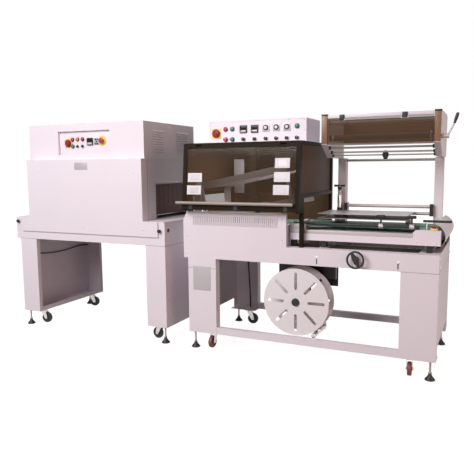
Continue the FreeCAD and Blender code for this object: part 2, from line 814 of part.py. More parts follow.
def estop_bore():
    x, y, z = estop_place()
    return bar_z(x, y, (z - 2 * sheet, z), stop_stem_r + running)


def estop_base():
    x, y, z = estop_place()
    ring = bar_z(x, y, (z, z + stop_base_t), stop_head_r + 2)
    return ring.cut(bar_z(x, y, (z, z + stop_base_t), stop_stem_r + running))


def make_infeed_estop():
    x, y, z = estop_place()
    under = z + stop_base_t + stop_travel + seat_gap
    head = bar_z(x, y, (under, under + stop_head_t), stop_head_r)
    keep("infeed_estop", join([head, bar_z(x, y, (z - sheet, under), stop_stem_r)]))


def make_forming_plates():
    bar_depth = (infeed_front_y + 2, infeed_front_y + 16)
    side_z = rail_z + rail_height
    side_bar = box((infeed_left_x, housing_left_x), bar_depth, (side_z, side_z + side_bar_height))
    block = box((infeed_left_x, infeed_left_x + side_bar_block), bar_depth,
                (side_z, side_z + side_bar_block_height))
    shapes = [join([side_bar, block])]
    high_z = former_low_z + former_t + former_gap
    for z in (former_low_z, high_z):
        shapes.append(box(former_x, former_y, (z, z + former_t)))
    arm_y = (belt_edges[1][1] + 2, infeed_back_y)
    for x in (former_x[0] + 40, former_x[1] - 40):
        arm = box(around(x, 30), arm_y, (belt_top_z, former_low_z))
        spacer = box(around(x, 30), (former_y[1] - 30, former_y[1]), (former_low_z + former_t, high_z))
        shapes += [arm, spacer]
    keep("forming_plates", shapes)


def make_adjusters():
    shaft_x = (former_x[0], housing_left_x + 30)
    shaft = bar_x(shaft_x, guide_shaft_y, guide_shaft_z, guide_shaft_r)
    side_z = rail_z + rail_height + side_bar_height
    left = box((shaft_x[0], shaft_x[0] + 20), (infeed_front_y + 2, guide_shaft_y + 12),
               (side_z, guide_shaft_z + guide_shaft_r + 3))
    right = box((shaft_x[1] - 20, shaft_x[1]), around(guide_shaft_y, 24),
                (housing_top_z, guide_shaft_z + guide_shaft_r + 3))
    shapes = [join([shaft, left, right])]
    for x in guide_clamps_x:
        ring = bar_x(around(x, 24), guide_shaft_y, guide_shaft_z, clamp_r)
        ring = ring.cut(bar_x(around(x, 24), guide_shaft_y, guide_shaft_z, guide_shaft_r))
        handle = bar_z(x, guide_shaft_y, (guide_shaft_z + clamp_r - 1, guide_shaft_z + clamp_r + 32), 5)
        knob = bar_z(x, guide_shaft_y, (guide_shaft_z + clamp_r + 32, guide_shaft_z + clamp_r + 50), 9)
        shapes.append(join([ring, handle, knob]))
    screw_z = former_low_z + 2 * former_t + former_gap
    spindle = bar_z(screw_x, screw_y, (screw_z, screw_top_z), screw_r)
    collar = bar_z(screw_x, screw_y, (screw_z, screw_z + 16), 2 * screw_r)
    tee = bar_x(around(screw_x, 70), screw_y, screw_top_z, screw_r)
    shapes.append(join([spindle, collar, tee]))
    lever_y_place = infeed_front_y + housing_depth - 8
    stand = bar_z(cross_lever_stand_x, lever_y_place, (housing_top_z, cross_lever_z), 6)
    lever = bar_x(cross_lever_x, lever_y_place, cross_lever_z, 7)
    shapes.append(join([stand, lever]))
    keep("adjuster_clamps", shapes)


# Film stand and the unwinder between its heads
def head_outline():
    back_y = post_y + post_depth
    return [(head_front_y, head_top_z), (head_front_y, head_knee_z), (head_knee_y, post_top_z),
            (back_y, post_top_z), (back_y, head_top_z - 15), (back_y - 30, head_top_z)]


def make_film_stand():
    sides = []
    back_y = post_y + post_depth
    bracket_z = (guide_rollers_z[0] - 16, guide_rollers_z[1] + 16)
    for post_x, head_x, inner in ((posts_x[0], heads_x[0], 1), (posts_x[1], heads_x[1], -1)):
        post = box((post_x, post_x + post_width), (post_y, back_y), (sealer_top_z, post_top_z))
        hollow = box((post_x + plate, post_x + post_width - plate), (post_y + plate, back_y - plate),
                     (sealer_top_z, post_top_z))
        head = prism_x(head_outline(), (head_x, head_x + head_width))
        inner_face = post_x + post_width if inner > 0 else post_x - roller_bracket
        bracket = box((inner_face, inner_face + roller_bracket), (post_y - 28, post_y + 24), bracket_z)
        for z in guide_rollers_z:
            bracket = bracket.cut(bar_x((inner_face, inner_face + roller_bracket), guide_roller_y, z,
                                        roller_pin_r + running))
        if inner < 0:
            hole = (head_x + head_width - lever_pin_depth - 1, head_x + head_width)
            head = head.cut(bar_x(hole, lever_y, lever_z, lever_pin_r + running))
        sides.append(join([post.cut(hollow), head, bracket]))
    keep("film_stand", sides)


def heads_span():
    return (heads_x[0] + head_width, heads_x[1])


def make_guide_rollers():
    span = (posts_x[0] + post_width + roller_bracket + seat_gap, posts_x[1] - roller_bracket - seat_gap)
    for name, z in zip(("guide_roller_lower", "guide_roller_upper"), guide_rollers_z):
        roller = bar_x(span, guide_roller_y, z, roller_r)
        pins = (span[0] - roller_bracket + 4, span[1] + roller_bracket - 4)
        keep(name, join([roller, bar_x(pins, guide_roller_y, z, roller_pin_r)]))


def make_unwinder_bars():
    x = heads_span()
    shapes = [box(x, top_bar_y, (flap_top_z + 6, head_top_z - 4)),
              box(x, (head_front_y + 10, head_front_y + 22), (flap_low_z - 3, flap_low_z + 9))]
    for y, z, r in unwinder_rods:
        shapes.append(bar_x(x, y, z, r))
    disc_y, disc_z, rod_r = unwinder_rods[2]
    disc = bar_x(around(perforator_x, 6), disc_y, disc_z, perforator_r)
    shapes.append(disc.cut(bar_x(around(perforator_x, 6), disc_y, disc_z, rod_r)))
    post_span = (posts_x[0] + post_width, posts_x[1])
    shapes.append(bar_x(post_span, post_y + 25, post_top_z - 14, 8))
    axis_y, axis_z = flap_axis()
    for middle in flap_hinges_x:
        span = around(middle, hinge_width)
        lug = join([bar_x(span, axis_y, axis_z, flap_roll_r),
                    box(span, (axis_y, top_bar_y[0]), (axis_z, axis_z + flap_roll_r)),
                    box(span, (top_bar_y[0] - 4, top_bar_y[0]), (axis_z, head_top_z - 4))])
        shapes.append(lug.cut(bar_x(span, axis_y, axis_z, flap_hinge_r + running)))
    keep("unwinder_bars", shapes)


def flap_axis():
    return (top_bar_y[0] - flap_roll_r - 4.5, flap_top_z)


def make_film_cover():
    axis_y, axis_z = flap_axis()
    x = (heads_span()[0] + 2, heads_span()[1] - 2)
    leaf = box(x, around(axis_y, flap_t), (flap_low_z, axis_z))
    roll = bar_x(x, axis_y, axis_z, flap_roll_r)
    flap = join([leaf, roll])
    for middle in flap_hinges_x:
        notch = around(middle, hinge_width + 4 * seat_gap)
        room = flap_roll_r + 2
        flap = flap.cut(box(notch, around(axis_y, 2 * room), (axis_z - room, axis_z + room)))
    pins = [bar_x(around(middle, hinge_width + 20), axis_y, axis_z, flap_hinge_r) for middle in flap_hinges_x]
    keep("film_cover", join([flap] + pins))


def make_tension_lever():
    face = heads_x[1] + head_width
    hub_x = (face + seat_gap, face + seat_gap + lever_hub_length)
    hub = bar_x(hub_x, lever_y, lever_z, lever_hub_r)
    pin = bar_x((face - lever_pin_depth, hub_x[0]), lever_y, lever_z, lever_pin_r)
    bend = V(hub_x[1] - lever_rod_r - 2, lever_y, lever_z)
    knee = V(lever_knee[0], lever_y, lever_knee[1])
    tip = V(lever_tip[0], lever_y, lever_tip[1])
    rod = Part.makeCylinder(lever_rod_r, (knee - bend).Length, bend, knee - bend)
    grip = Part.makeCylinder(lever_grip_r, (tip - knee).Length, knee, tip - knee)
    keep("tension_lever", join([hub, pin, rod, grip]))


# Sealing station: fixed lower bars, uprights and the hinged L-shaped jaw
def make_seal_base():
    front = (jaw_front_y, jaw_front_y + jaw_width)
    side_x = (jaw_right_x - jaw_width, jaw_right_x)
    z = (base_bar_top_z - base_bar_height, base_bar_top_z)
    bars = [box((jaw_pivot_x - 24, jaw_right_x), front, z), box(side_x, (front[1], jaw_back_y), z)]
    legs_x = (jaw_pivot_x - 10, cross_beams_x[0], cross_beams_x[1])
    legs = [box(around(x, 22), front, (sealer_top_z, z[0])) for x in legs_x]
    legs.append(box(side_x, (jaw_back_y - jaw_width, jaw_back_y), (sealer_top_z, z[0])))
    shapes = bars + legs
    plate_x = (jaw_pivot_x - 24, jaw_pivot_x + 24)
    for y in jaw_brackets_y():
        bracket = join([box(plate_x, y, (sealer_top_z, jaw_pivot_z)), bar_y(jaw_pivot_x, y, jaw_pivot_z, 24)])
        shapes.append(bracket.cut(bar_y(jaw_pivot_x, y, jaw_pivot_z, jaw_pivot_r + running)))
    shapes.append(box(column_x, column_y, (sealer_top_z, hood_top_z - sheet)))
    keep("seal_base", shapes)


def jaw_brackets_y():
    # Inner faces stand one seat gap off the jaw
    front = jaw_front_y - seat_gap
    back = jaw_back_y + seat_gap
    return ((front - jaw_bracket_t, front), (back, back + jaw_bracket_t))


def make_jaw():
    front = (jaw_front_y, jaw_front_y + jaw_width)
    back = (jaw_back_y - jaw_width, jaw_back_y)
    low_z = base_bar_top_z + 2 * seat_gap
    low = (low_z, low_z + jaw_bar_height)
    side_x = (jaw_right_x - jaw_width, jaw_right_x)
    top = around(jaw_pivot_z, jaw_rail_height)
    x = (jaw_pivot_x, jaw_right_x)
    parts = [box(x, front, low), box(side_x, (front[0], back[1]), low),
             box(x, front, top), box(x, back, top), box(side_x, (front[0], back[1]), top),
             box((x[0], x[0] + jaw_width), front, (low[0], top[0]))]
    parts += [box(side_x, y, (low[1], top[0])) for y in (front, back)]
    brackets = jaw_brackets_y()
    parts.append(bar_y(jaw_pivot_x, (brackets[0][0], brackets[1][1]), jaw_pivot_z, jaw_pivot_r))
    parts += [bar_y(jaw_pivot_x, y, jaw_pivot_z, 20) for y in (front, back)]
    jaw = join(parts)
    jaw.rotate(V(jaw_pivot_x, 0, jaw_pivot_z), V(0, 1, 0), -jaw_open)
    keep("seal_jaw", jaw)


# Scrap winder under the table
def reel_disc(y):
    disc = bar_y(reel_x, y, reel_z, reel_r)
    for index in range(reel_slots):
        slot = slot_y(reel_x, y, (reel_z + reel_slot_in, reel_z + reel_slot_out), reel_slot_width)
        slot.rotate(V(reel_x, 0, reel_z), V(0, 1, 0), 360.0 * index / reel_slots)
        disc = disc.cut(slot)
    return disc


def make_reel():
    y = (reel_front_y, reel_front_y + reel_depth)
    tube = bar_y(reel_x, y, reel_z, reel_core_r)
    discs = [reel_disc((y[0], y[0] + plate)), reel_disc((y[1] - plate, y[1]))]
    reel = join(discs + [tube]).cut(bar_y(reel_x, y, reel_z, reel_bore_r + running))
    keep("scrap_reel", reel)
    hanger_y = (winder_y, winder_y + 8)
    beam_z = sealer_top_z - cross_beam_height
    plate_z = (reel_z - 50, beam_z)
    shaft = bar_y(reel_x, (y[0] - seat_gap - 1, winder_y), reel_z, reel_bore_r)
    cap = bar_y(reel_x, (y[0] - seat_gap - 8, y[0] - seat_gap), reel_z, reel_core_r - 1)
    sleeve = bar_y(reel_x, (y[1] + seat_gap, winder_y), reel_z, reel_core_r)
    hanger = box(around(reel_x, 80), hanger_y, plate_z)
    pivot_x, pivot_z = dancer_pivot
    arm_hanger = box((pivot_x - 30, pivot_x + 100), hanger_y, (pivot_z - 30, beam_z))
    pin = bar_y(pivot_x, (y[1] + 1.7, winder_y), pivot_z, dancer_pin_r)
    collar = bar_y(pivot_x, (y[1] + 1, y[1] + 1 + dancer_collar_t), pivot_z, dancer_pin_r + 4)
    motor = box((pivot_x + 16, pivot_x + 96), (winder_y - 44, winder_y), (pivot_z + 20, pivot_z + 92))
    winder = join([shaft, cap, sleeve, hanger, arm_hanger, pin, collar, motor])
    screen_y = (long_beam_y[1] - sheet, long_beam_y[1])
    screen = box(screen_x, screen_y, (screen_z, beam_z))
    lip = box(screen_x, (screen_y[0] - 30, screen_y[0]), (screen_z, screen_z + sheet))
    keep("winder_bracket", [winder, join([screen, lip])])


def make_dancer():
    pivot_x, pivot_z = dancer_pivot
    front = reel_front_y + reel_depth + 1 + dancer_collar_t + seat_gap
    y = (front, front + 8)
    hub_y = (front, winder_y - seat_gap)
    ends = [(reel_x + dx, reel_z + dz, r) for dx, dz, r in dancer_rollers]
    outline = [(pivot_x - 12, pivot_z), (pivot_x + 12, pivot_z), (ends[1][0] + 12, ends[1][1]),
               (ends[1][0] + 8, ends[1][1] - 12), (ends[0][0] + 8, ends[0][1] - 12),
               (ends[0][0] - 8, ends[0][1] - 12), (ends[0][0] - 12, ends[0][1])]
    arm = join([prism_y(outline, y), bar_y(pivot_x, hub_y, pivot_z, dancer_pin_r + 6)])
    arm = arm.cut(bar_y(pivot_x, hub_y, pivot_z, dancer_pin_r + running))
    rollers = [bar_y(x, (dancer_front_y, y[1]), z, r) for x, z, r in ends]
    keep("dancer_arm", join([arm] + rollers))


def make_handwheel():
    rim_r = handwheel_r - handwheel_rim_r
    rim = Part.makeTorus(rim_r, handwheel_rim_r, V(wheel_x, handwheel_y, wheel_z), V(0, 1, 0))
    hub = bar_y(wheel_x, (handwheel_y - 9, handwheel_y + 20), wheel_z, 14)
    shaft = bar_y(wheel_x, (handwheel_y, beam_width), wheel_z, handwheel_shaft_r)
    spokes = []
    for index in range(3):
        spoke = box((wheel_x, wheel_x + rim_r), around(handwheel_y, 6), around(wheel_z, 12))
        spoke.rotate(V(wheel_x, 0, wheel_z), V(0, 1, 0), 35 + 120.0 * index)
        spokes.append(spoke)
    keep("handwheel", join([rim, hub, shaft] + spokes))


# Shrink tunnel
def tunnel_leg(x, outer_x):
    y = (tunnel_front_y, tunnel_front_y + tunnel_depth)
    z = (leg_z, tunnel_beam_z)
    inner_x = x[0] if outer_x > x[0] else x[1] - plate
    parts = [box(x, (y[0], y[0] + plate), z), box(x, (y[1] - plate, y[1]), z),
             box((outer_x, outer_x + plate), y, z),
             box((inner_x, inner_x + plate), (y[0], y[0] + leg_lip), z),
             box((inner_x, inner_x + plate), (y[1] - leg_lip, y[1]), z),
             box((inner_x, inner_x + plate), y, (z[0], z[0] + leg_lip)),
             box(x, y, (leg_z, leg_z + base_plate))]
    return parts


def make_tunnel_frame():
    y = (tunnel_front_y, tunnel_front_y + tunnel_depth)
    x = (tunnel_left_x, tunnel_right_x)
    left = (x[0] + left_leg_inset, x[0] + left_leg_inset + tunnel_leg_width)
    right = (x[1] - tunnel_leg_width, x[1])
    ring = channel_ring(x, y, (tunnel_beam_z, tunnel_deck_z), beam_width)
    deck = box((x[0] + beam_width, x[1] - beam_width), (y[0] + beam_width, y[1] - beam_width),
               (tunnel_deck_z - plate, tunnel_deck_z))
    seats = caster_places()[4:]
    parts = [ring, deck] + tunnel_leg(left, left[0]) + tunnel_leg(right, right[1] - plate)
    parts += [caster_seat(cx, cy) for cx, cy, angle in seats]
    frame = join(parts)
    for cx, cy, angle in seats:
        frame = frame.cut(caster_hole(cx, cy))
    keep("tunnel_base_frame", frame)


def make_front_cover():
    front = tunnel_front_y - 10
    body_z = (tunnel_deck_z, chamber_top_z + 4)
    skirt_z = (skirt_low_z, tunnel_deck_z)
    body = box(cover_x, (front, chamber_y[0]), body_z)
    body = body.cut(box((cover_x[0] + sheet, cover_x[1] - sheet), (front + sheet, chamber_y[0]),
                        (body_z[0], chamber_top_z)))
    skirt = box(skirt_x, (front, tunnel_front_y), skirt_z)
    skirt = skirt.cut(box((skirt_x[0] + sheet, skirt_x[1] - sheet), (front + sheet, tunnel_front_y),
                          (skirt_z[0] + sheet, skirt_z[1] - sheet)))
    keep("tunnel_front_cover", join([body, skirt]))


def curtain_axis_z():
    return passage_top_z - sheet - curtain_tube_r - 2


def make_chamber():
    x = chamber_x
    y = chamber_y
    z = (tunnel_deck_z, chamber_top_z)
    wall_y = (passage_y[0] - sheet, passage_y[1] + sheet)
    roof_z = passage_top_z + sheet
    void_x = (x[0] + sheet, x[1] - sheet)
    voids = [box(void_x, (y[0] + sheet, wall_y[0]), z), box(void_x, (wall_y[1], y[1] - sheet), z),
             box(void_x, wall_y, (roof_z, z[1]))]
    passage = box((x[0] - 1, x[1] + 1), passage_y, (z[0] - 1, passage_top_z))
    shell = box(x, y, z).cut(join(voids)).cut(passage)
    eaves = []
    for eave_x in ((x[0] - eave, x[0]), (x[1], x[1] + eave)):
        eaves.append(box(eave_x, wall_y, (passage_top_z, roof_z)))
    pins = []
    for pin_x in curtain_places_x():
        pins.append(bar_y(pin_x, (wall_y[0], wall_y[1]), curtain_axis_z(), curtain_pin_r))
    keep("tunnel_chamber", join([shell] + eaves + pins))


def curtain_places_x():
    return (chamber_x[0] + curtain_inset, chamber_x[1] - curtain_inset)


def make_curtains():
    y = (passage_y[0] + 5, passage_y[1] - 5)
    axis_z = curtain_axis_z()
    low_z = conveyor_z + conveyor_tube_r + 6
    width = (y[1] - y[0] - (curtain_strips - 1) * curtain_slit) / curtain_strips
    for name, x in zip(("exit_curtain", "entry_curtain"), curtain_places_x()):
        tube = bar_y(x, y, axis_z, curtain_tube_r)
        strips = []
        for index in range(curtain_strips):
            left = y[0] + index * (width + curtain_slit)
            strips.append(box(around(x, curtain_t), (left, left + width), (low_z, axis_z)))
        curtain = join([tube] + strips).cut(bar_y(x, y, axis_z, curtain_pin_r + running))
        keep(name, curtain)


def make_tunnel_hood():
    x = chamber_x
    y = chamber_y
    z = (chamber_top_z, tunnel_top_z)
    inner = box((x[0] + sheet, x[1] - sheet), (y[0] + sheet, y[1] - sheet), (z[0], z[1] - sheet))
    hood = box(x, y, z).cut(inner)
    hood = hood.cut(box(panel_x, (y[0], y[0] + sheet), panel_z))
    slots = []
    blades = []
    for column in louvre_columns:
        for row in range(louvre_rows):
            low = louvre_low_z + row * louvre_pitch
            slots.append(box((x[1] - sheet, x[1]), column, (low, low + louvre_slot)))
            outline = [(x[1] - sheet / 2, low + louvre_slot + 3), (x[1], low + louvre_slot + 3),
                       (x[1] + louvre_reach, low + 1), (x[1] + louvre_reach - 1.5, low)]
            blades.append(prism_y(outline, column))
    hood = hood.cut(Part.makeCompound(slots))
    keep("tunnel_hood", join([hood] + blades))


def tunnel_panel_y():
    return chamber_y[0] + panel_recess


def tunnel_switch_place():
    return (panel_x[0] + 82.0, tunnel_panel_y(), panel_z[0] + 84.0)


def tunnel_stop_place():
    return (panel_x[1] - 76.0, tunnel_panel_y(), panel_z[0] + 96.0)


def make_tunnel_panel():
    front = tunnel_panel_y()
    tray = box(panel_x, (chamber_y[0], front + plate), panel_z)
    tray = tray.cut(box((panel_x[0] + sheet, panel_x[1] - sheet), (chamber_y[0], front),
                        (panel_z[0] + sheet, panel_z[1] - sheet)))
    holes = [device_hole(*place) for place in (tunnel_switch_place(), tunnel_stop_place())]
    shapes = [tray.cut(Part.makeCompound(holes))]
    for row_z in tunnel_rows_z:
        shapes += [panel_round(x, front, panel_z[0] + row_z, button_r, 14) for x in tunnel_lamps_x]
    shapes.append(panel_block(tunnel_meters_x[0], front, panel_z[0] + 92, 52, 8))
    shapes.append(panel_block(tunnel_meters_x[1], front, panel_z[0] + 92, 46, 6))
    shapes.append(switch_plate(*tunnel_switch_place(), 48))
    shapes.append(button_collar(*tunnel_stop_place(), 20))
    keep("tunnel_panel", shapes)
    keep("tunnel_main_switch", rotary_switch(*tunnel_switch_place(), switch_r - 3))
    keep("tunnel_estop", push_button(*tunnel_stop_place(), stop_head_r, 8))


def make_conveyor():
    x = (chamber_x[0] + 4, chamber_x[1] - 4)
    z = (tunnel_deck_z, conveyor_z + conveyor_tube_r)
    y = (passage_y[0] + 3, passage_y[1] - 3)
    rail_width = 6.0
    rails = [box(x, (y[0], y[0] + rail_width), z), box(x, (y[1] - rail_width, y[1]), z)]
    count = int((x[1] - x[0] - 2 * conveyor_end) // conveyor_pitch) + 1
    rods = []
    for index in range(count):
        rod_x = x[0] + conveyor_end + index * conveyor_pitch
        rods.append(bar_y(rod_x, (y[0] + rail_width, y[1] - rail_width), conveyor_z, conveyor_tube_r))
    keep("tunnel_conveyor", rails + rods)


def make_heaters():
    # Heater rods over the passage and the fan above its roof
    x = (chamber_x[0] + sheet, chamber_x[1] - sheet)
    roof_z = passage_top_z + sheet
    rods = []
    for y in (chamber_y[0] + 50, chamber_y[1] - 50):
        for z in (tunnel_deck_z + 90, tunnel_deck_z + 170, tunnel_deck_z + 250):
            rods.append(bar_x(x, y, z, heater_r))
    middle = (chamber_x[0] + chamber_x[1]) / 2
    centre_y = (passage_y[0] + passage_y[1]) / 2
    fan = bar_z(middle, centre_y, (roof_z, roof_z + 70), fan_r)
    motor = bar_z(middle, centre_y, (roof_z + 70, roof_z + 150), fan_r / 2)
    keep("tunnel_heaters", rods + [join([fan, motor])])


# Cables clipped inside the legs: straight runs joined by tangent arcs
def cable(points, r):
    edges = []
    start = V(*points[0])
    for before, corner, after in zip(points, points[1:], points[2:]):
        into = V(*corner) - V(*before)
        out = V(*after) - V(*corner)
        turn = into.getAngle(out)
        bend = 0.45 * min(into.Length, out.Length) / math.tan(turn / 2)
        bend_back = bend * math.tan(turn / 2)
        into.normalize()
        out.normalize()
        first = V(*corner) - into * bend_back
        last = V(*corner) + out * bend_back
        inward = (out - into).normalize()
        middle = V(*corner) + inward * (bend / math.cos(turn / 2) - bend)
        edges += [Part.LineSegment(start, first).toShape(), Part.Arc(first, middle, last).toShape()]
        start = last
        print("cable arc radius", round(bend, 1))
    edges.append(Part.LineSegment(start, V(*points[-1])).toShape())
    path = Part.Wire(edges)
    direction = V(*points[1]) - V(*points[0])
    ring = Part.Wire(Part.makeCircle(r, V(*points[0]), direction))
    tube = path.makePipeShell([ring], True, False)
    print("cable volume", round(tube.Volume), "section times length", round(math.pi * r * r * path.Length))
    return tube


def make_cables():
    sealer_points = [(x - sealer_length, sealer_depth - y, z) for x, y, z in sealer_cable_run]
    keep("cables", [cable(tunnel_cable_points, cable_r), cable(sealer_points, cable_r)])


def finish():
    boxes = [shape.BoundBox for shape in pieces.values()]
    middle_x = (min(b.XMin for b in boxes) + max(b.XMax for b in boxes)) / 2
    middle_y = (min(b.YMin for b in boxes) + max(b.YMax for b in boxes)) / 2
    os.makedirs("parts", exist_ok=True)
    for name, shape in pieces.items():
        moved = shape.copy()
        moved.translate(V(-middle_x, -middle_y, 0))
        moved.exportStep("parts/%s.step" % name)
    print("moved by", round(-middle_x, 3), round(-middle_y, 3), "pieces", len(pieces))


make_casters_and_feet()
make_sealer_legs()
make_sealer_frame()
make_apron()
make_vent_cover()
make_hood()
make_door()
make_control_box()
make_box_controls()
make_infeed()
make_infeed_estop()
make_forming_plates()
make_adjusters()
make_film_stand()
make_guide_rollers()
make_unwinder_bars()
make_film_cover()
make_tension_lever()
make_seal_base()
make_jaw()
make_reel()
make_dancer()
make_handwheel()
make_tunnel_frame()
make_front_cover()
make_chamber()
make_curtains()
make_tunnel_hood()
make_tunnel_panel()
make_conveyor()
make_heaters()
make_cables()
finish()
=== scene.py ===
import bpy, bmesh, json, math
from mathutils import Matrix, Vector


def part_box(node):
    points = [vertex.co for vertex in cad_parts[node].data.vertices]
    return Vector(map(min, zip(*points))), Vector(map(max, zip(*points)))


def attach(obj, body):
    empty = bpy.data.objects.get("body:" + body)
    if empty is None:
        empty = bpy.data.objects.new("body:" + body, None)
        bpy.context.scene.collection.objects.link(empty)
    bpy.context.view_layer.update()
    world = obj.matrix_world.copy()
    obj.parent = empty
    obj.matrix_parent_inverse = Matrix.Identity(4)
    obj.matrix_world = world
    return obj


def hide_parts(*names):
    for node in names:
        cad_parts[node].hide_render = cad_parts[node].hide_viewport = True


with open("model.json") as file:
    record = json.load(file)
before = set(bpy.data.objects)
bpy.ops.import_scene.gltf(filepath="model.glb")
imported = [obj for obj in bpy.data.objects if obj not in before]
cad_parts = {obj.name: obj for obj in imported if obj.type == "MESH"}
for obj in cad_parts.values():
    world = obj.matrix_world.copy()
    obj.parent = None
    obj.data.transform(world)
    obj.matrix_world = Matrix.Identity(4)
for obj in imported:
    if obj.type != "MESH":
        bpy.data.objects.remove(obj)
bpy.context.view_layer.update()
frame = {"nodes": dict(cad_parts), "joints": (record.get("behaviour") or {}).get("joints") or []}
nodes = frame["nodes"]
print("frame loaded,", len(nodes), "nodes")

mm = 0.001
apronLow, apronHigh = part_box("sealer_apron")
originX, originY = apronHigh.x, apronLow.y  # the sealer's right side and front face
facing = {"front": (0, -1, 0), "back": (0, 1, 0), "left": (-1, 0, 0), "right": (1, 0, 0), "up": (0, 0, 1)}
joints = {joint["name"]: joint for joint in frame["joints"]}
casters = range(1, 9)


def at(x, y, z):
    return Vector((originX + x * mm, originY + y * mm, z * mm))


# Colours and finishes
finishes = {
    "paint": (0.78, 0.700, 0.765),
    "paintShade": (0.70, 0.62, 0.66),
    "smoke": (0.060, 0.033, 0.017),
    "smokeAlpha": 0.46,
    "frameBlack": (0.030, 0.026, 0.022),
    "aluminium": (0.70, 0.68, 0.68),
    "steel": (0.56, 0.53, 0.52),
    "zinc": (0.62, 0.60, 0.58),
    "blackPlastic": (0.022, 0.020, 0.020),
    "redPlastic": (0.34, 0.016, 0.026),
    "switchRed": (0.24, 0.010, 0.016),
    "greenPlastic": (0.012, 0.150, 0.095),
    "yellow": (0.82, 0.56, 0.06),
    "curtain": (0.085, 0.020, 0.018),
    "belt": (0.045, 0.19, 0.11),
    "treadRed": (0.20, 0.034, 0.022),
    "treadBlack": (0.020, 0.019, 0.019),
    "tan": (0.205, 0.103, 0.054),
    "reel": (0.80, 0.74, 0.77),
    "brass": (0.62, 0.47, 0.20),
    "label": (0.72, 0.66, 0.69),
    "plateGrey": (0.46, 0.42, 0.44),
    "dark": (0.012, 0.011, 0.011),
}


# Shader groups that several finishes share
def addMath(n, operation, clamp=False, kind="ShaderNodeMath"):
    node = n.new(kind)
    node.operation = operation
    if clamp:
        node.use_clamp = True
    return node


def addNoise(n, detail):
    node = n.new("ShaderNodeTexNoise")
    node.inputs["Detail"].default_value = detail
    return node


def addMix(n):
    node = n.new("ShaderNodeMix")
    node.data_type = "RGBA"
    return node


def newGroup(name, inputs, outputs):
    tree = bpy.data.node_groups.new(name, "ShaderNodeTree")
    for label, value in inputs.items():
        kind = "NodeSocketVector" if isinstance(value, tuple) else "NodeSocketFloat"
        socket = tree.interface.new_socket(name=label, in_out="INPUT", socket_type=kind)
        socket.default_value = value
    for label, kind in outputs.items():
        tree.interface.new_socket(name=label, in_out="OUTPUT", socket_type=kind)
    return tree, tree.nodes.new("NodeGroupInput"), tree.nodes.new("NodeGroupOutput")


def makeGrainGroup():
    # fine relief and a slow cloudy tone, in the piece's own coordinates
    tree, given, out = newGroup("surfaceGrain", {"Scale": 300.0, "Stretch": (1.0, 1.0, 1.0)},
                                {"Height": "NodeSocketFloat", "Cloud": "NodeSocketFloat"})
    n, link = tree.nodes, tree.links.new
    coords = n.new("ShaderNodeTexCoord")
    stretch = addMath(n, "MULTIPLY", kind="ShaderNodeVectorMath")
    fine = addNoise(n, 3)
    cloud = addNoise(n, 4)
    cloud.inputs["Scale"].default_value = 3.2
    link(coords.outputs["Object"], stretch.inputs[0])
    link(given.outputs["Stretch"], stretch.inputs[1])
    link(stretch.outputs[0], fine.inputs["Vector"])
    link(given.outputs["Scale"], fine.inputs["Scale"])
    link(coords.outputs["Object"], cloud.inputs["Vector"])
    link(fine.outputs["Fac"], out.inputs["Height"])
    link(cloud.outputs["Fac"], out.inputs["Cloud"])
    return tree


def makeEdgeWearHighlightGroup():
    # rounded edges for the light to catch, and a mask along them where a lighter colour goes: partly paint
    # rubbed off, partly a painted highlight
    tree, given, out = newGroup("edgeWearAndHighlight", {"Radius": 0.0015, "Sharpness": 6.0},
                                {"Mask": "NodeSocketFloat", "Normal": "NodeSocketVector"})
    n, link = tree.nodes, tree.links.new
    bevel = n.new("ShaderNodeBevel")
    bevel.samples = 4
    geometry = n.new("ShaderNodeNewGeometry")
    dot = addMath(n, "DOT_PRODUCT", kind="ShaderNodeVectorMath")
    invert = addMath(n, "SUBTRACT")
    invert.inputs[0].default_value = 1.0
    gain = addMath(n, "MULTIPLY", True)
    link(given.outputs["Radius"], bevel.inputs["Radius"])
    link(bevel.outputs["Normal"], dot.inputs[0])
    link(geometry.outputs["Normal"], dot.inputs[1])
    link(dot.outputs["Value"], invert.inputs[1])
    link(invert.outputs[0], gain.inputs[0])
    link(given.outputs["Sharpness"], gain.inputs[1])
    link(gain.outputs[0], out.inputs["Mask"])
    link(bevel.outputs["Normal"], out.inputs["Normal"])
    return tree


def makeDustGroup():
    # a thin film on faces that look up
    tree, given, out = newGroup("dustFilm", {"Amount": 0.3, "Scale": 26.0}, {"Mask": "NodeSocketFloat"})
    n, link = tree.nodes, tree.links.new
    geometry = n.new("ShaderNodeNewGeometry")
    split = n.new("ShaderNodeSeparateXYZ")
    coords = n.new("ShaderNodeTexCoord")
    patches = addNoise(n, 5)
    upward = addMath(n, "MULTIPLY", True)
    amount = addMath(n, "MULTIPLY", True)
    link(geometry.outputs["Normal"], split.inputs[0])
    link(coords.outputs["Object"], patches.inputs["Vector"])
    link(given.outputs["Scale"], patches.inputs["Scale"])
    link(split.outputs["Z"], upward.inputs[0])
    link(patches.outputs["Fac"], upward.inputs[1])
    link(upward.outputs[0], amount.inputs[0])
    link(given.outputs["Amount"], amount.inputs[1])
    link(amount.outputs[0], out.inputs["Mask"])
    return tree


grainGroup, edgeWearHighlightGroup, dustGroup = makeGrainGroup(), makeEdgeWearHighlightGroup(), makeDustGroup()


def placed(nodeTree, group, **values):
    node = nodeTree.nodes.new("ShaderNodeGroup")
    node.node_tree = group
    for label, value in values.items():
        node.inputs[label].default_value = value
    return node


def shifted(colour, factor):
    return tuple(min(1.0, part * factor) for part in colour) + (1.0,)


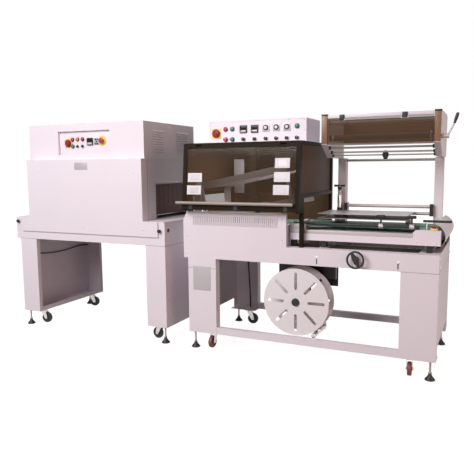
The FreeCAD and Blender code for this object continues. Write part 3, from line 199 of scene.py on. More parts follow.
def surface(name, colour, rough=(0.35, 0.5), metallic=0.0, grainScale=500.0, stretch=(1.0, 1.0, 1.0),
            relief=0.12, reliefDepth=0.0002, variation=0.06, wearAndHighlight=0.25, wearAndHighlightColour=None, edge=0.0012,
            dust=0.0, dustColour=(0.34, 0.31, 0.29), coat=0.0, specular=0.5, alpha=1.0):
    # one painted, moulded or metal finish
    mat = bpy.data.materials.new(name)
    mat.use_nodes = True
    tree = mat.node_tree
    n, link = tree.nodes, tree.links.new
    shader = n["Principled BSDF"]
    shader.inputs["Metallic"].default_value = metallic
    shader.inputs["Specular IOR Level"].default_value = specular
    shader.inputs["Coat Weight"].default_value = coat
    shader.inputs["Coat Roughness"].default_value = 0.12
    shader.inputs["Alpha"].default_value = alpha
    grain = placed(tree, grainGroup, Scale=grainScale, Stretch=stretch)
    edges = placed(tree, edgeWearHighlightGroup, Radius=edge)
    tone = addMix(n)
    tone.inputs["A"].default_value = shifted(colour, 1 - variation)
    tone.inputs["B"].default_value = shifted(colour, 1 + variation)
    # lighter colour along the edges: edge wear and a painted highlight
    wornAndLit = addMix(n)
    wornAndLit.inputs["B"].default_value = (*(wearAndHighlightColour or shifted(colour, 1.25)[:3]), 1.0)
    strength = addMath(n, "MULTIPLY")
    strength.inputs[1].default_value = wearAndHighlight
    link(grain.outputs["Cloud"], tone.inputs["Factor"])
    link(tone.outputs["Result"], wornAndLit.inputs["A"])
    link(edges.outputs["Mask"], strength.inputs[0])
    link(strength.outputs[0], wornAndLit.inputs["Factor"])
    last = wornAndLit.outputs["Result"]
    if dust:
        film = placed(tree, dustGroup, Amount=dust)
        dusty = addMix(n)
        dusty.inputs["B"].default_value = (*dustColour, 1.0)
        link(film.outputs["Mask"], dusty.inputs["Factor"])
        link(last, dusty.inputs["A"])
        last = dusty.outputs["Result"]
    link(last, shader.inputs["Base Color"])
    gloss = n.new("ShaderNodeMapRange")
    gloss.inputs["To Min"].default_value, gloss.inputs["To Max"].default_value = rough
    link(grain.outputs["Height"], gloss.inputs["Value"])
    link(gloss.outputs["Result"], shader.inputs["Roughness"])
    bump = n.new("ShaderNodeBump")
    bump.inputs["Strength"].default_value = relief
    bump.inputs["Distance"].default_value = reliefDepth
    link(grain.outputs["Height"], bump.inputs["Height"])
    link(edges.outputs["Normal"], bump.inputs["Normal"])
    link(bump.outputs["Normal"], shader.inputs["Normal"])
    mat.diffuse_color = (*colour, 1.0)
    return mat


f = finishes
m = {
    "paint": surface("pinkWhitePaint", f["paint"], (0.36, 0.48), relief=0.10, variation=0.03, wearAndHighlight=0.10,
                     dust=0.05),
    # a darker copy of the paint for the seal base: painted shade
    "shadedPaintInner": surface("innerPaintedShade", f["paintShade"], (0.45, 0.6), variation=0.05, dust=0.2),
    "black": surface("blackFrame", f["frameBlack"], (0.3, 0.42), relief=0.08, variation=0.2, wearAndHighlight=0.2,
                     specular=0.25),
    "aluminium": surface("aluminium", f["aluminium"], (0.24, 0.38), 1.0, 900, (0.05, 1, 1), 0.10,
                         variation=0.05),
    "steel": surface("brightRod", f["steel"], (0.16, 0.30), 1.0, 1200, (0.03, 1, 1), 0.06, variation=0.06),
    "zinc": surface("zincPlate", f["zinc"], (0.26, 0.45), 1.0, 240, relief=0.08, variation=0.12, dust=0.2),
    "blackPlastic": surface("blackMoulding", f["blackPlastic"], (0.32, 0.48), grainScale=1500, relief=0.2,
                            variation=0.15, wearAndHighlight=0.25, specular=0.3),
    "red": surface("redMoulding", f["redPlastic"], (0.26, 0.36), grainScale=900, variation=0.08, coat=0.2),
    "switchRed": surface("switchRed", f["switchRed"], (0.3, 0.4), grainScale=900, variation=0.08, coat=0.1,
                         specular=0.35),
    "green": surface("greenMoulding", f["greenPlastic"], (0.26, 0.36), grainScale=900, variation=0.08,
                     coat=0.2),
    "yellow": surface("yellowPlate", f["yellow"], (0.3, 0.42), grainScale=700, variation=0.05, coat=0.2),
    "curtain": surface("curtainRubber", f["curtain"], (0.5, 0.7), grainScale=160, relief=0.25,
                       variation=0.25, wearAndHighlight=0.1),
    "belt": surface("greenBelt", f["belt"], (0.45, 0.62), grainScale=700, stretch=(1, 0.25, 1), relief=0.5,
                    reliefDepth=0.0004, variation=0.12, dust=0.12),
    "treadRed": surface("redTread", f["treadRed"], (0.4, 0.6), grainScale=260, relief=0.3, variation=0.25,
                        dust=0.3),
    "treadBlack": surface("blackTread", f["treadBlack"], (0.4, 0.6), grainScale=260, relief=0.3,
                          variation=0.25, dust=0.3),
    "tan": surface("tanFront", f["tan"], (0.30, 0.42), grainScale=420, relief=0.1, variation=0.10, wearAndHighlight=0.3),
    "reel": surface("reelPlastic", f["reel"], (0.34, 0.5), grainScale=350, relief=0.12, variation=0.04,
                    dust=0.05),
    "brass": surface("brassFitting", f["brass"], (0.22, 0.36), 1.0, 700, relief=0.08, variation=0.1),
    "label": surface("blankLabel", f["label"], (0.4, 0.5), grainScale=300, relief=0.03, variation=0.03),
    "plateGrey": surface("greyPlate", f["plateGrey"], (0.3, 0.45), 0.3, 600, (0.1, 1, 1), 0.08,
                         variation=0.08),
    "dark": surface("darkInside", f["dark"], (0.5, 0.7), grainScale=300, variation=0.3, wearAndHighlight=0.0),
    "cable": surface("cableSheath", f["blackPlastic"], (0.4, 0.55), grainScale=400, relief=0.2,
                     variation=0.2),
    "tanBlock": surface("tanInsulator", (0.42, 0.27, 0.14), (0.4, 0.6), grainScale=260, relief=0.25,
                        variation=0.15),
    "screen": surface("displayGlass", (0.010, 0.010, 0.012), (0.08, 0.14), grainScale=300, relief=0.02,
                      variation=0.1, specular=0.2),
    "smoke": surface("smokedAcrylic", f["smoke"], (0.06, 0.11), grainScale=60, relief=0.03, variation=0.12,
                     wearAndHighlight=0.5, wearAndHighlightColour=(0.22, 0.15, 0.09), alpha=f["smokeAlpha"], specular=0.14),
}
m["smokeSide"] = surface("smokedSidePane", (0.105, 0.062, 0.036), (0.34, 0.42), grainScale=60, relief=0.03,
                         variation=0.15, wearAndHighlight=0.5, wearAndHighlightColour=(0.22, 0.15, 0.09), alpha=0.95, specular=0.03)
m["handleBar"] = surface("handleBar", (0.27, 0.225, 0.20), (0.42, 0.55), 0.3, 900, (0.05, 1, 1), 0.06,
                         variation=0.06, specular=0.3)
m["darkRod"] = surface("darkRod", (0.33, 0.275, 0.25), (0.35, 0.5), 0.5, 1200, (0.03, 1, 1), 0.06,
                       variation=0.1)
m["roller"] = surface("paleRoller", (0.46, 0.41, 0.41), (0.4, 0.55), 0.4, 900, (0.05, 1, 1), 0.06,
                      variation=0.05)
# dark brown for faces inside the frames: painted shade
m["inner"] = surface("shadedInner", (0.20, 0.155, 0.140), (0.5, 0.65), grainScale=400, relief=0.1,
                     variation=0.12, dust=0.15)
m["smokeFrame"] = surface("smokedFrame", (0.020, 0.013, 0.009), (0.36, 0.46), grainScale=200, relief=0.04,
                          variation=0.2, wearAndHighlight=0.3, wearAndHighlightColour=(0.10, 0.065, 0.04), specular=0.04)
m["smokeCover"] = surface("smokedFilmCover", (0.110, 0.060, 0.032), (0.06, 0.10), grainScale=60,
                          relief=0.03, variation=0.12, wearAndHighlight=0.6, wearAndHighlightColour=(0.26, 0.17, 0.09), alpha=0.42,
                          specular=0.15)
m["amber"] = surface("amberLens", (0.55, 0.16, 0.01), (0.2, 0.3), grainScale=900, variation=0.08, coat=0.5)
print("materials made,", len(m))


# Mesh tools
def shapedCube(spotOf):
    # a unit cube with each corner moved to the spot that spotOf gives
    part = bmesh.new()
    bmesh.ops.create_cube(part, size=1.0)
    for vert in part.verts:
        vert.co = spotOf(vert.co.copy())
    return part


def soften(part, width, segments, **shape):
    bmesh.ops.bevel(part, geom=part.edges[:], offset=width * mm, segments=segments, affect="EDGES", **shape)


def faceOut(part):
    bmesh.ops.recalc_face_normals(part, faces=part.faces[:])


def skin(part, rings):
    # faces between each ring of corners and the next
    steps = len(rings[0])
    for lower, upper in zip(rings, rings[1:]):
        for k in range(steps):
            after = (k + 1) % steps
            part.faces.new((lower[k], lower[after], upper[after], upper[k]))


def addBlock(bm, x, y, z, soft=1.0, mat=0, steps=2):
    low, high = at(x[0], y[0], z[0]), at(x[1], y[1], z[1])
    part = shapedCube(lambda co: Vector([low[i] + (co[i] + 0.5) * (high[i] - low[i]) for i in range(3)]))
    if soft:
        soften(part, soft, steps, profile=0.6, clamp_overlap=True)
    pour(bm, part, mat)


def pour(bm, part, mat):
    # adds the part to bm in one material
    for face in part.faces:
        face.material_index = mat
    mesh = bpy.data.meshes.new("part")
    part.to_mesh(mesh)
    part.free()
    bm.from_mesh(mesh)
    bpy.data.meshes.remove(mesh)


def addTurned(bm, profile, place, axis, mat=0, steps=36):
    # profile: radius and distance along the axis of each corner, in mm
    turn = Vector(axis).normalized().to_track_quat("Z", "Y").to_matrix()
    part = bmesh.new()
    rings = []
    for radius, along in profile:
        if radius < 1e-6:
            rings.append([part.verts.new(place + turn @ Vector((0, 0, along * mm)))])
            continue
        ring = []
        for step in range(steps):
            angle = 2 * math.pi * step / steps
            spot = Vector((radius * mm * math.cos(angle), radius * mm * math.sin(angle), along * mm))
            ring.append(part.verts.new(place + turn @ spot))
        rings.append(ring)
    for lower, upper in zip(rings, rings[1:]):
        for step in range(steps):
            after = (step + 1) % steps
            corners = [lower[step % len(lower)], lower[after % len(lower)],
                       upper[after % len(upper)], upper[step % len(upper)]]
            corners = list(dict.fromkeys(corners))
            if len(corners) > 2:
                part.faces.new(corners)
    faceOut(part)
    pour(bm, part, mat)


def addRod(bm, start, end, r, mat=0, edge=0.8, steps=24):
    length = (end - start).length / mm
    profile = [(0, 0), (r - edge, 0), (r, edge), (r, length - edge), (r - edge, length), (0, length)]
    addTurned(bm, profile, start, end - start, mat, steps)


def addTube(bm, points, r, mat=0, steps=12, fill=8):
    # a round bar bent through the points
    spots = []
    for index in range(len(points) - 1):
        before = points[max(index - 1, 0)]
        a, b = points[index], points[index + 1]
        after = points[min(index + 2, len(points) - 1)]
        for step in range(fill):
            t = step / fill
            spots.append(0.5 * ((2 * a) + (b - before) * t + (2 * before - 5 * a + 4 * b - after) * t * t
                                + (3 * a - before - 3 * b + after) * t ** 3))
    spots.append(points[-1])
    part = bmesh.new()
    side = (spots[1] - spots[0]).orthogonal().normalized()
    rings = []
    for index, spot in enumerate(spots):
        ahead = (spots[min(index + 1, len(spots) - 1)] - spots[max(index - 1, 0)]).normalized()
        side = (side - ahead * side.dot(ahead)).normalized()
        up = ahead.cross(side)
        rings.append([part.verts.new(spot + (side * math.cos(2 * math.pi * k / steps)
                                             + up * math.sin(2 * math.pi * k / steps)) * r * mm)
                      for k in range(steps)])
    skin(part, rings)
    part.faces.new(rings[0])
    part.faces.new(rings[-1])
    faceOut(part)
    pour(bm, part, mat)


def addPanScrew(bm, place, axis, r=5.0, mat=0, recessShade=1, sink=0.3):
    # pan head with a cross recess drawn as dark bars on the dome: painted shade
    dome = [(0, r * 0.55), (r * 0.45, r * 0.50), (r * 0.8, r * 0.34), (r, r * 0.08), (r, -sink)]
    addTurned(bm, dome, place, axis, mat, 20)
    turn = Vector(axis).normalized().to_track_quat("Z", "Y").to_matrix()
    for long, short in ((r * 0.5, r * 0.13), (r * 0.13, r * 0.5)):
        part = shapedCube(lambda co: place + turn @ (Vector((co.x * 2 * long, co.y * 2 * short,
                                                             (co.z + 0.5) * r * 0.2 + r * 0.36)) * mm))
        pour(bm, part, recessShade)


def addHexBolt(bm, place, axis, r, height, mat=0):
    # hexagon head on a washer
    addTurned(bm, [(0, 1.6), (r * 1.25, 1.6), (r * 1.35, 1.0), (r * 1.35, -0.2)], place, axis, mat, 24)
    profile = [(0, height), (r * 0.82, height), (r, height - 1), (r, 0)]
    addTurned(bm, profile, place, axis, mat, 6)


sharpAngle = 35  # degrees from which an edge is drawn sharp


def finishPiece(name, bm, materials, body="root", stands=()):
    mesh = bpy.data.meshes.new(name)
    bm.to_mesh(mesh)
    bm.free()
    mesh.shade_smooth()
    mesh.set_sharp_from_angle(angle=math.radians(sharpAngle))
    piece = bpy.data.objects.new(name, mesh)
    bpy.context.scene.collection.objects.link(piece)
    for mat in materials:
        mesh.materials.append(m[mat])
    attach(piece, body)
    if stands:
        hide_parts(*stands)


# Camera, light and floor
photoSize = 474  # pixels each way
view = {"spot": (248.9, -3113.9, 1180.7), "yaw": 0.433, "pitch": 0.124, "roll": -0.008, "lens": 42.23}
studio = {
    "keyPower": 218, "keySpot": (-2600, -3600, 3300), "keyAim": (-1500, 300, 800), "keySize": 2.6,
    "fillPower": 38, "fillSpot": (2600, -1500, 1500), "fillSize": 2.2, "fillTint": (1.0, 0.71, 0.58),
    "topPower": 30, "topSpot": (-1500, 300, 4200), "topSize": 4.0,
    "hoodPower": 5.0, "hoodSpot": (-1160, 240, 1318), "hoodAim": (-1160, 260, 800), "hoodSize": 0.5,
    "ambient": (0.46, 0.30, 0.225), "ambientPower": 0.15, "whiteLevel": 1.0,
    "floorGlow": 0.92, "floorColour": (0.22, 0.19, 0.18), "floorRough": 0.55, "floorSpecular": 0.2,
    "floorSize": 14, "floorDrop": 0.0005,
}


def makeCamera(settings):
    cosPitch, sinPitch = math.cos(settings["pitch"]), math.sin(settings["pitch"])
    cosYaw, sinYaw = math.cos(settings["yaw"]), math.sin(settings["yaw"])
    forward = Vector((-sinYaw * cosPitch, cosYaw * cosPitch, -sinPitch))
    right = Vector((cosYaw, sinYaw, 0))
    up = right.cross(forward)
    cosRoll, sinRoll = math.cos(settings["roll"]), math.sin(settings["roll"])
    camX = right * cosRoll + up * sinRoll
    camY = up * cosRoll - right * sinRoll
    camera = bpy.data.objects.new("photoCamera", bpy.data.cameras.new("photoCamera"))
    bpy.context.scene.collection.objects.link(camera)
    camera.data.sensor_width = 36
    camera.data.lens = settings["lens"]
    camera.data.clip_end = 60
    turned = Matrix((camX, camY, -forward)).transposed().to_4x4()
    turned.translation = at(*settings["spot"])
    camera.matrix_world = turned
    bpy.context.scene.camera = camera


def areaLamp(name, spot, aim, size, power, colour):
    lamp = bpy.data.objects.new(name, bpy.data.lights.new(name, "AREA"))
    lamp.data.size = size
    lamp.data.energy = power
    lamp.data.color = colour
    bpy.context.scene.collection.objects.link(lamp)
    lamp.location = at(*spot)
    lamp.rotation_euler = (at(*aim) - at(*spot)).to_track_quat("-Z", "Y").to_euler()


def whiteSeen(tree, shown, whiteLevel):
    # mixes a plain white over what the camera, mirrors and clear panes see
    n, link = tree.nodes, tree.links.new
    path = n.new("ShaderNodeLightPath")
    mirrored = addMath(n, "ADD", True)
    through = addMath(n, "ADD", True)
    link(path.outputs["Is Camera Ray"], mirrored.inputs[0])
    link(path.outputs["Is Glossy Ray"], mirrored.inputs[1])
    link(mirrored.outputs[0], through.inputs[0])
    link(path.outputs["Is Transmission Ray"], through.inputs[1])
    white = n.new("ShaderNodeBackground")
    white.inputs["Color"].default_value = (1, 1, 1, 1)
    white.inputs["Strength"].default_value = whiteLevel
    mix = n.new("ShaderNodeMixShader")
    link(through.outputs[0], mix.inputs[0])
    link(shown.outputs[0], mix.inputs[1])
    link(white.outputs[0], mix.inputs[2])
    return mix


def makeWorld():
    world = bpy.data.worlds.new("studio")
    world.use_nodes = True
    tree = world.node_tree
    ambient = tree.nodes["Background"]
    ambient.inputs["Color"].default_value = (*studio["ambient"], 1)
    ambient.inputs["Strength"].default_value = studio["ambientPower"]
    mix = whiteSeen(tree, ambient, studio["whiteLevel"])
    tree.links.new(mix.outputs[0], tree.nodes["World Output"].inputs["Surface"])
    bpy.context.scene.world = world


def makeFloor():
    # pale floor: white to the camera, with the machine's shadow kept on it
    bm = bmesh.new()
    bmesh.ops.create_grid(bm, x_segments=1, y_segments=1, size=studio["floorSize"])
    mesh = bpy.data.meshes.new("floor")
    bm.to_mesh(mesh)
    bm.free()
    floor = bpy.data.objects.new("floor", mesh)
    bpy.context.scene.collection.objects.link(floor)
    floor.location = (0, 0, -studio["floorDrop"])
    mat = bpy.data.materials.new("paleFloor")
    mat.use_nodes = True
    tree = mat.node_tree
    n, link = tree.nodes, tree.links.new
    shader = n["Principled BSDF"]
    shader.inputs["Base Color"].default_value = (*studio["floorColour"], 1)
    shader.inputs["Roughness"].default_value = studio["floorRough"]
    shader.inputs["Specular IOR Level"].default_value = studio["floorSpecular"]
    path = n.new("ShaderNodeLightPath")
    seen = addMath(n, "ADD", True)
    glow = n.new("ShaderNodeEmission")
    glow.inputs["Strength"].default_value = studio["floorGlow"]
    mix = n.new("ShaderNodeAddShader")
    keep = n.new("ShaderNodeMixShader")
    link(path.outputs["Is Camera Ray"], seen.inputs[0])
    link(path.outputs["Is Glossy Ray"], seen.inputs[1])
    link(shader.outputs[0], mix.inputs[0])
    link(glow.outputs[0], mix.inputs[1])
    link(seen.outputs[0], keep.inputs[0])
    link(shader.outputs[0], keep.inputs[1])
    link(mix.outputs[0], keep.inputs[2])
    link(keep.outputs[0], n["Material Output"].inputs["Surface"])
    mesh.materials.append(mat)


bpy.context.scene.view_settings.view_transform = "Standard"
makeCamera(view)
white = (1, 1, 1)
lamps = (("key", "key", "keyAim", white), ("fill", "fill", "keyAim", studio["fillTint"]),
         ("top", "top", "keyAim", white), ("hoodGlow", "hood", "hoodAim", white))
for name, group, aim, tint in lamps:
    areaLamp(name, studio[group + "Spot"], studio[aim], studio[group + "Size"], studio[group + "Power"], tint)
makeWorld()
makeFloor()
print("camera, light and floor set")


# Finishes for the CAD nodes that stay as they are
nodeFinish = {
    "sealer_legs": "paint", "sealer_top_frame": "paint", "sealer_apron": "paint", "vent_cover": "paint",
    "hood_frame": "smokeFrame", "hood_panes": "smokeSide", "control_box": "paint", "film_stand": "paint",
    "infeed_table": "paint", "conveyor_belts": "belt", "forming_plates": "plateGrey",
    "seal_base": "shadedPaintInner", "seal_jaw": "roller", "winder_bracket": "black",
    "tunnel_base_frame": "paint", "tunnel_front_cover": "paint", "tunnel_chamber": "paint",
    "tunnel_hood": "paint", "tunnel_conveyor": "steel", "tunnel_heaters": "steel",
    "cables": "cable", "door_frame": "smokeFrame", "door_pane": "smoke", "door_handle": "handleBar",
    "scrap_reel": "reel", "dancer_arm": "steel", "film_cover": "smokeCover",
    "guide_roller_lower": "roller", "guide_roller_upper": "roller",
    "entry_curtain": "curtain", "exit_curtain": "curtain",
}
for index in casters:
    nodeFinish[f"caster_fork_{index}"] = "zinc"


def dress(name, finish):
    slots = nodes[name].data.materials
    slots.clear()
    slots.append(m[finish])


for name, finish in nodeFinish.items():
    dress(name, finish)


# Faces of a node that wear another finish: node, finish, lowest and highest corner of their middles
regions = [
    ("seal_base", "black", (-1355, 555, 700), (-1297, 615, 1340)),
    ("hood_frame", "paint", (-1550, -10, 1334.4), (-770, 700, 1336)),
    ("infeed_table", "black", (-900, 55, 700), (0, 760, 746.5)),
    # painted shade on the top frame's inner faces
    ("sealer_top_frame", "inner", (-1541, 4, 600), (-1, 745, 704.5)),
    ("film_stand", "black", (-720, 465, 860), (0, 499.5, 965)),
    ("door_handle", "black", (-1600, -70, 905), (-770, -20, 952)),
]


def dressRegion(name, finish, low, high):
    mesh = nodes[name].data
    mesh.materials.append(m[finish])
    first, last = at(*low), at(*high)
    for face in mesh.polygons:
        if all(first[i] <= face.center[i] <= last[i] for i in range(3)):
            face.material_index = len(mesh.materials) - 1


for region in regions:
    dressRegion(*region)
print("CAD nodes dressed,", len(nodeFinish))


# Switches, lamps and dials shared by both panels
def addLamp(bm, x, y, z, r, lens, ring, depth):
    # bezel with a domed lens or button
    place, axis = at(x, y, z), facing["front"]
    bezel = [(r * 0.78, 0), (r * 1.14, 0), (r * 1.14, depth * 0.3), (r * 1.05, depth * 0.42),
             (r * 0.9, depth * 0.42)]
    cup = [(r * 0.92, 0.5), (r * 0.92, depth * 0.6), (r * 0.84, depth * 0.82), (r * 0.55, depth * 0.96),
           (0, depth)]
    addTurned(bm, bezel, place, axis, ring)
    addTurned(bm, cup, place, axis, lens)


def addKnob(bm, x, y, z, r, body, ring, mark, turn=0.6, depth=18):
    # bezel ring, round grip with a raised finger bar and a light pointer line
    place, axis = at(x, y, z), facing["front"]
    bezel = [(r * 0.9, 0), (r * 1.3, 0), (r * 1.3, 2.4), (r * 1.2, 3.4), (r * 0.9, 3.4)]
    addTurned(bm, bezel, place, axis, ring)
    addTurned(bm, [(r, 1), (r, depth * 0.6), (r * 0.92, depth * 0.68), (0, depth * 0.68)], place, axis, body)
    swing = Matrix.Rotation(turn, 4, "Y")
    bars = ((0.26, 0.95, 1.0, 0.0, body), (0.07, 0.4, 1.02, 0.5, mark))
    for halfWide, halfTall, reach, rise, finish in bars:
        part = shapedCube(lambda co: place + swing @ (mm * Vector((
            co.x * 2 * halfWide * r, (co.y - 0.5) * depth * reach, (co.z * 2 * halfTall + rise) * r))))
        if finish == body:
            soften(part, 0.7, 2)
        pour(bm, part, finish)


def addController(bm, x, y, z, size, case, glass, keys):
    # temperature controller: black bezel, glass window, pale strip and four keys
    half = size / 2
    addBlock(bm, (x - half, x + half), (y - 8, y), (z - half, z + half), 2.2, case)
    window = (x - half * 0.82, x + half * 0.82)
    strip = (x - half * 0.74, x + half * 0.74)
    addBlock(bm, window, (y - 8.6, y - 7), (z - half * 0.10, z + half * 0.8), 0.5, glass)
    addBlock(bm, strip, (y - 8.8, y - 7), (z - half * 0.62, z - half * 0.28), 0.5, keys)
    keyZ = (z - half * 0.88, z - half * 0.72)
    for step in range(4):
        spot = x - half * 0.62 + step * half * 0.41
        addBlock(bm, (spot - 2.4, spot + 2.4), (y - 9.6, y - 7), keyZ, 0.8, keys)


def addTimer(bm, x, y, z, size, case, ring, dial, pointer=0.7):
    # dial timer: pale square case, dark scale ring with ticks, white turning dial
    half = size / 2
    addBlock(bm, (x - half, x + half), (y - 4, y), (z - half, z + half), 1.6, case)
    place, axis = at(x, y - 4, z + 2), facing["front"]
    addTurned(bm, [(0, 0.4), (18, 0.4), (18, 2.0), (17, 2.8), (9.4, 2.8)], place, axis, ring)
    addTurned(bm, [(9.6, 1.5), (9.6, 7), (8.8, 8), (0, 8)], place, axis, dial)
    for step in range(11):
        angle = math.radians(225 - step * 27)
        spot = place + Vector((math.cos(angle) * 20 * mm, 0, math.sin(angle) * 20 * mm))
        addTurned(bm, [(0, 0.5), (0.7, 0.5), (0.7, -0.2)], spot, axis, ring, 8)
    tip = place + Vector((math.cos(pointer) * 6 * mm, -8 * mm, math.sin(pointer) * 6 * mm))
    addTurned(bm, [(0, 0.4), (1.2, 0.4), (1.2, -0.4)], tip, axis, ring, 10)


mainSwitch = {"depth": 20, "turn": -0.5, "flutes": 12, "steps": 72, "groove": 0.05,
              "skirt": ((5, 0.80), (12.4, 0.74), (13.6, 0.68))}


def makeMainSwitch(body, x, y, z, r):
    # round base, fluted skirt and a raised grip across it
    p, place = mainSwitch, at(x, y, z)
    bm = bmesh.new()
    addTurned(bm, [(0, 0), (r, 0), (r, 4), (r * 0.96, 6), (0, 6)], place, facing["front"])
    part = bmesh.new()
    rings = []
    for along, reach in p["skirt"]:
        ring = []
        for step in range(p["steps"]):
            angle = 2 * math.pi * step / p["steps"]
            flute = reach * r * (1 - p["groove"] * max(0.0, math.cos(p["flutes"] * angle)))
            spot = Vector((math.cos(angle) * flute, -along, math.sin(angle) * flute))
            ring.append(part.verts.new(place + spot * mm))
        rings.append(ring)
    skin(part, rings)
    part.faces.new(rings[-1])
    faceOut(part)
    pour(bm, part, 0)
    swing = Matrix.Rotation(p["turn"], 4, "Y")
    grip = shapedCube(lambda co: place + swing @ (mm * Vector((
        co.x * 0.42 * r, -p["depth"] * (1.0 if co.y < 0 else 0.5), co.z * 1.5 * r))))
    soften(grip, 1.6, 3)
    pour(bm, grip, 0)
    finishPiece(f"{body}_knob", bm, ["switchRed"], body, [body])


def addMushroom(bm, x, y, z, r, reach):
    # emergency stop: stem and a domed head with a shallow ring
    place, axis = at(x, y, z), facing["front"]
    addTurned(bm, [(8.6, -6), (8.6, reach - 9)], place, axis, 1)
    addTurned(bm, [(8, reach - 9), (r * 0.86, reach - 9), (r, reach - 6.5), (r * 0.98, reach - 3.5),
                   (r * 0.80, reach - 1.0), (r * 0.56, reach - 0.3), (r * 0.5, reach - 0.8), (r * 0.3, reach),
                   (0, reach)], place, axis, 0)


sealerPanel = {
    "face": 241, "roof": 1335, "high": 97, "low": 30, "r": 14, "knob": 12.5,
    "columns": (-1378, -1329, -1249, -1170, -1092, -1021, -950, -883), "controller": 50, "timer": 48,
    "switch": (-1445, 1406, 29), "switchPlate": 33, "plateScrew": 23, "left": -1495, "right": -822,
    "top": 1486,
    "topScrews": (-1330, -1200, -1062, -940),
}


def makeSealerPanel(p):
    names = ["blackPlastic", "red", "green", "zinc", "screen", "plateGrey", "label", "yellow"]
    black, red, green, zinc, glass, grey, pale, yellow = range(len(names))
    front = facing["front"]
    bm = bmesh.new()
    y, high, low = p["face"], p["roof"] + p["high"], p["roof"] + p["low"]
    ring = [(9.5, 0), (p["r"] * 1.12, 0), (p["r"] * 1.12, 3.4), (p["r"], 4.6), (9.5, 4.6)]
    for x, lens in zip(p["columns"][:2], (red, green)):
        addLamp(bm, x, y, high, p["r"], lens, black, 12)
        addTurned(bm, ring, at(x, y, low), front, black)
    for x in p["columns"][2:4]:
        addController(bm, x, y, high - 4, p["controller"], black, glass, grey)
    for x, pointer in zip(p["columns"][4:7], (0.4, 1.2, 2.2)):
        addTimer(bm, x, y, high, p["timer"], grey, black, pale, pointer)
    addLamp(bm, p["columns"][7], y, high + 4, p["r"], green, black, 12)
    for x in p["columns"][2:]:
        addKnob(bm, x, y, low, p["knob"], black, zinc, pale)
    x, z, switchR = p["switch"]
    half, inset = p["switchPlate"], p["plateScrew"]
    addBlock(bm, (x - half, x + half), (y - 4.6, y), (z - half, z + half), 2.4, yellow)
    for dx in (-inset, inset):
        for dz in (-inset, inset):
            addPanScrew(bm, at(x + dx, y - 4.6, z + dz), front, 2.2, zinc, black)
    finishPiece("sealer_panel_devices", bm, names, "root", ["box_controls"])
    makeMainSwitch("sealer_main_switch", x, y - 5, z, switchR)
    cap = [(9.0, 4.6), (9.0, 9.2), (12.9, 9.2), (12.9, 14.4), (11.8, 16.8), (7.5, 18), (0, 18.2)]
    for x, finish, body in zip(p["columns"], ("red", "green"), ("stop_button", "start_button")):
        button = bmesh.new()
        addTurned(button, cap, at(x, y, low), front, 0)
        finishPiece(f"{body}_cap", button, [finish], body, [body])
    trim = bmesh.new()
    for x in (p["left"] + 12, p["right"] - 12):
        for z in (p["roof"] + 12, (p["roof"] + p["top"]) / 2, p["top"] - 12):
            addPanScrew(trim, at(x, y, z), front, 3.2, 0, 1)
    for x in p["topScrews"]:
        addPanScrew(trim, at(x, y, p["top"] - 9), front, 2.8, 0, 1)
    finishPiece("sealer_panel_screws", trim, ["zinc", "dark"])


makeSealerPanel(sealerPanel)

tunnelPanel = {
    "face": 58, "bottom": 1279, "top": 1448, "left": -2626, "right": -2168, "r": 13,
    "lampsX": (-2506, -2461, -2416), "rows": (62, 110), "devices": 92, "controller": (-2350, 52),
    "meter": (-2290, 46), "switch": (-2544, 1363, 27), "switchPlate": 31, "stop": (-2244, 1375, 20),
    "trayFront": 40,
}


def makeTunnelPanel(p):
    names = ["blackPlastic", "red", "green", "zinc", "screen", "label", "paint", "yellow", "amber",
             "plateGrey"]
    black, red, green, zinc, glass, pale, paint, yellow, amber, grey = range(len(names))
    front = facing["front"]
    bm = bmesh.new()
    y, wall = p["face"], (p["trayFront"], p["face"] + 1)
    wide, tall = (p["left"], p["right"]), (p["bottom"], p["top"])
    # tray: back plate and four turned-in walls
    addBlock(bm, wide, (y, y + 3), tall, 0.3, paint)
    for x in ((wide[0], wide[0] + 2), (wide[1] - 2, wide[1])):
        addBlock(bm, x, wall, tall, 0.4, paint)
    for z in ((tall[0], tall[0] + 2), (tall[1] - 2, tall[1])):
        addBlock(bm, wide, wall, z, 0.4, paint)
    for x in (wide[0] + 14, wide[1] - 14):
        for z in (tall[0] + 14, tall[1] - 14):
            addPanScrew(bm, at(x, y, z), front, 3.4, zinc, black)
    lower, upper = (p["bottom"] + row for row in p["rows"])
    for x, lens in zip(p["lampsX"], (red, amber, red)):
        addLamp(bm, x, y, upper, p["r"], lens, black, 14)
    addLamp(bm, p["lampsX"][0], y, lower, p["r"], green, black, 14)
    for x in p["lampsX"][1:]:
        addKnob(bm, x, y, lower, 10, black, zinc, pale, 0.5, 16)
    z = p["bottom"] + p["devices"]
    x, size = p["controller"]
    addController(bm, x, y, z, size, black, glass, pale)
    x, size = p["meter"]
    addBlock(bm, (x - size / 2, x + size / 2), (y - 6, y), (z - size / 2, z + size / 2), 1.6, grey)
    for dz, r in ((15, 6.5), (0, 5.5), (-15, 6.5)):
        button = [(0, 2.2), (r * 0.8, 2.2), (r, 1.4), (r, -0.5)]
        for dx in (-8, 8):
            addTurned(bm, button, at(x + dx * (dz != 0), y - 6, z + dz), front, black, 20)
    x, z, switchR = p["switch"]
    half = p["switchPlate"]
    addBlock(bm, (x - half, x + half), (y - 4.6, y), (z - half, z + half), 2.0, yellow)
    stopX, stopZ, stopR = p["stop"]
    collar = [(9.6, 0), (34, 0), (34, 2.0), (33, 3.0), (21, 3.2), (20, 5), (9.6, 5)]
    addTurned(bm, collar, at(stopX, y, stopZ), front, yellow)
    finishPiece("tunnel_panel_devices", bm, names, "root", ["tunnel_panel"])
    makeMainSwitch("tunnel_main_switch", x, y - 5, z, switchR)
    stop = bmesh.new()
    addMushroom(stop, stopX, y, stopZ, stopR, 22)
    finishPiece("tunnel_estop_head", stop, ["red", "blackPlastic"], "tunnel_estop",
                ["tunnel_estop"])


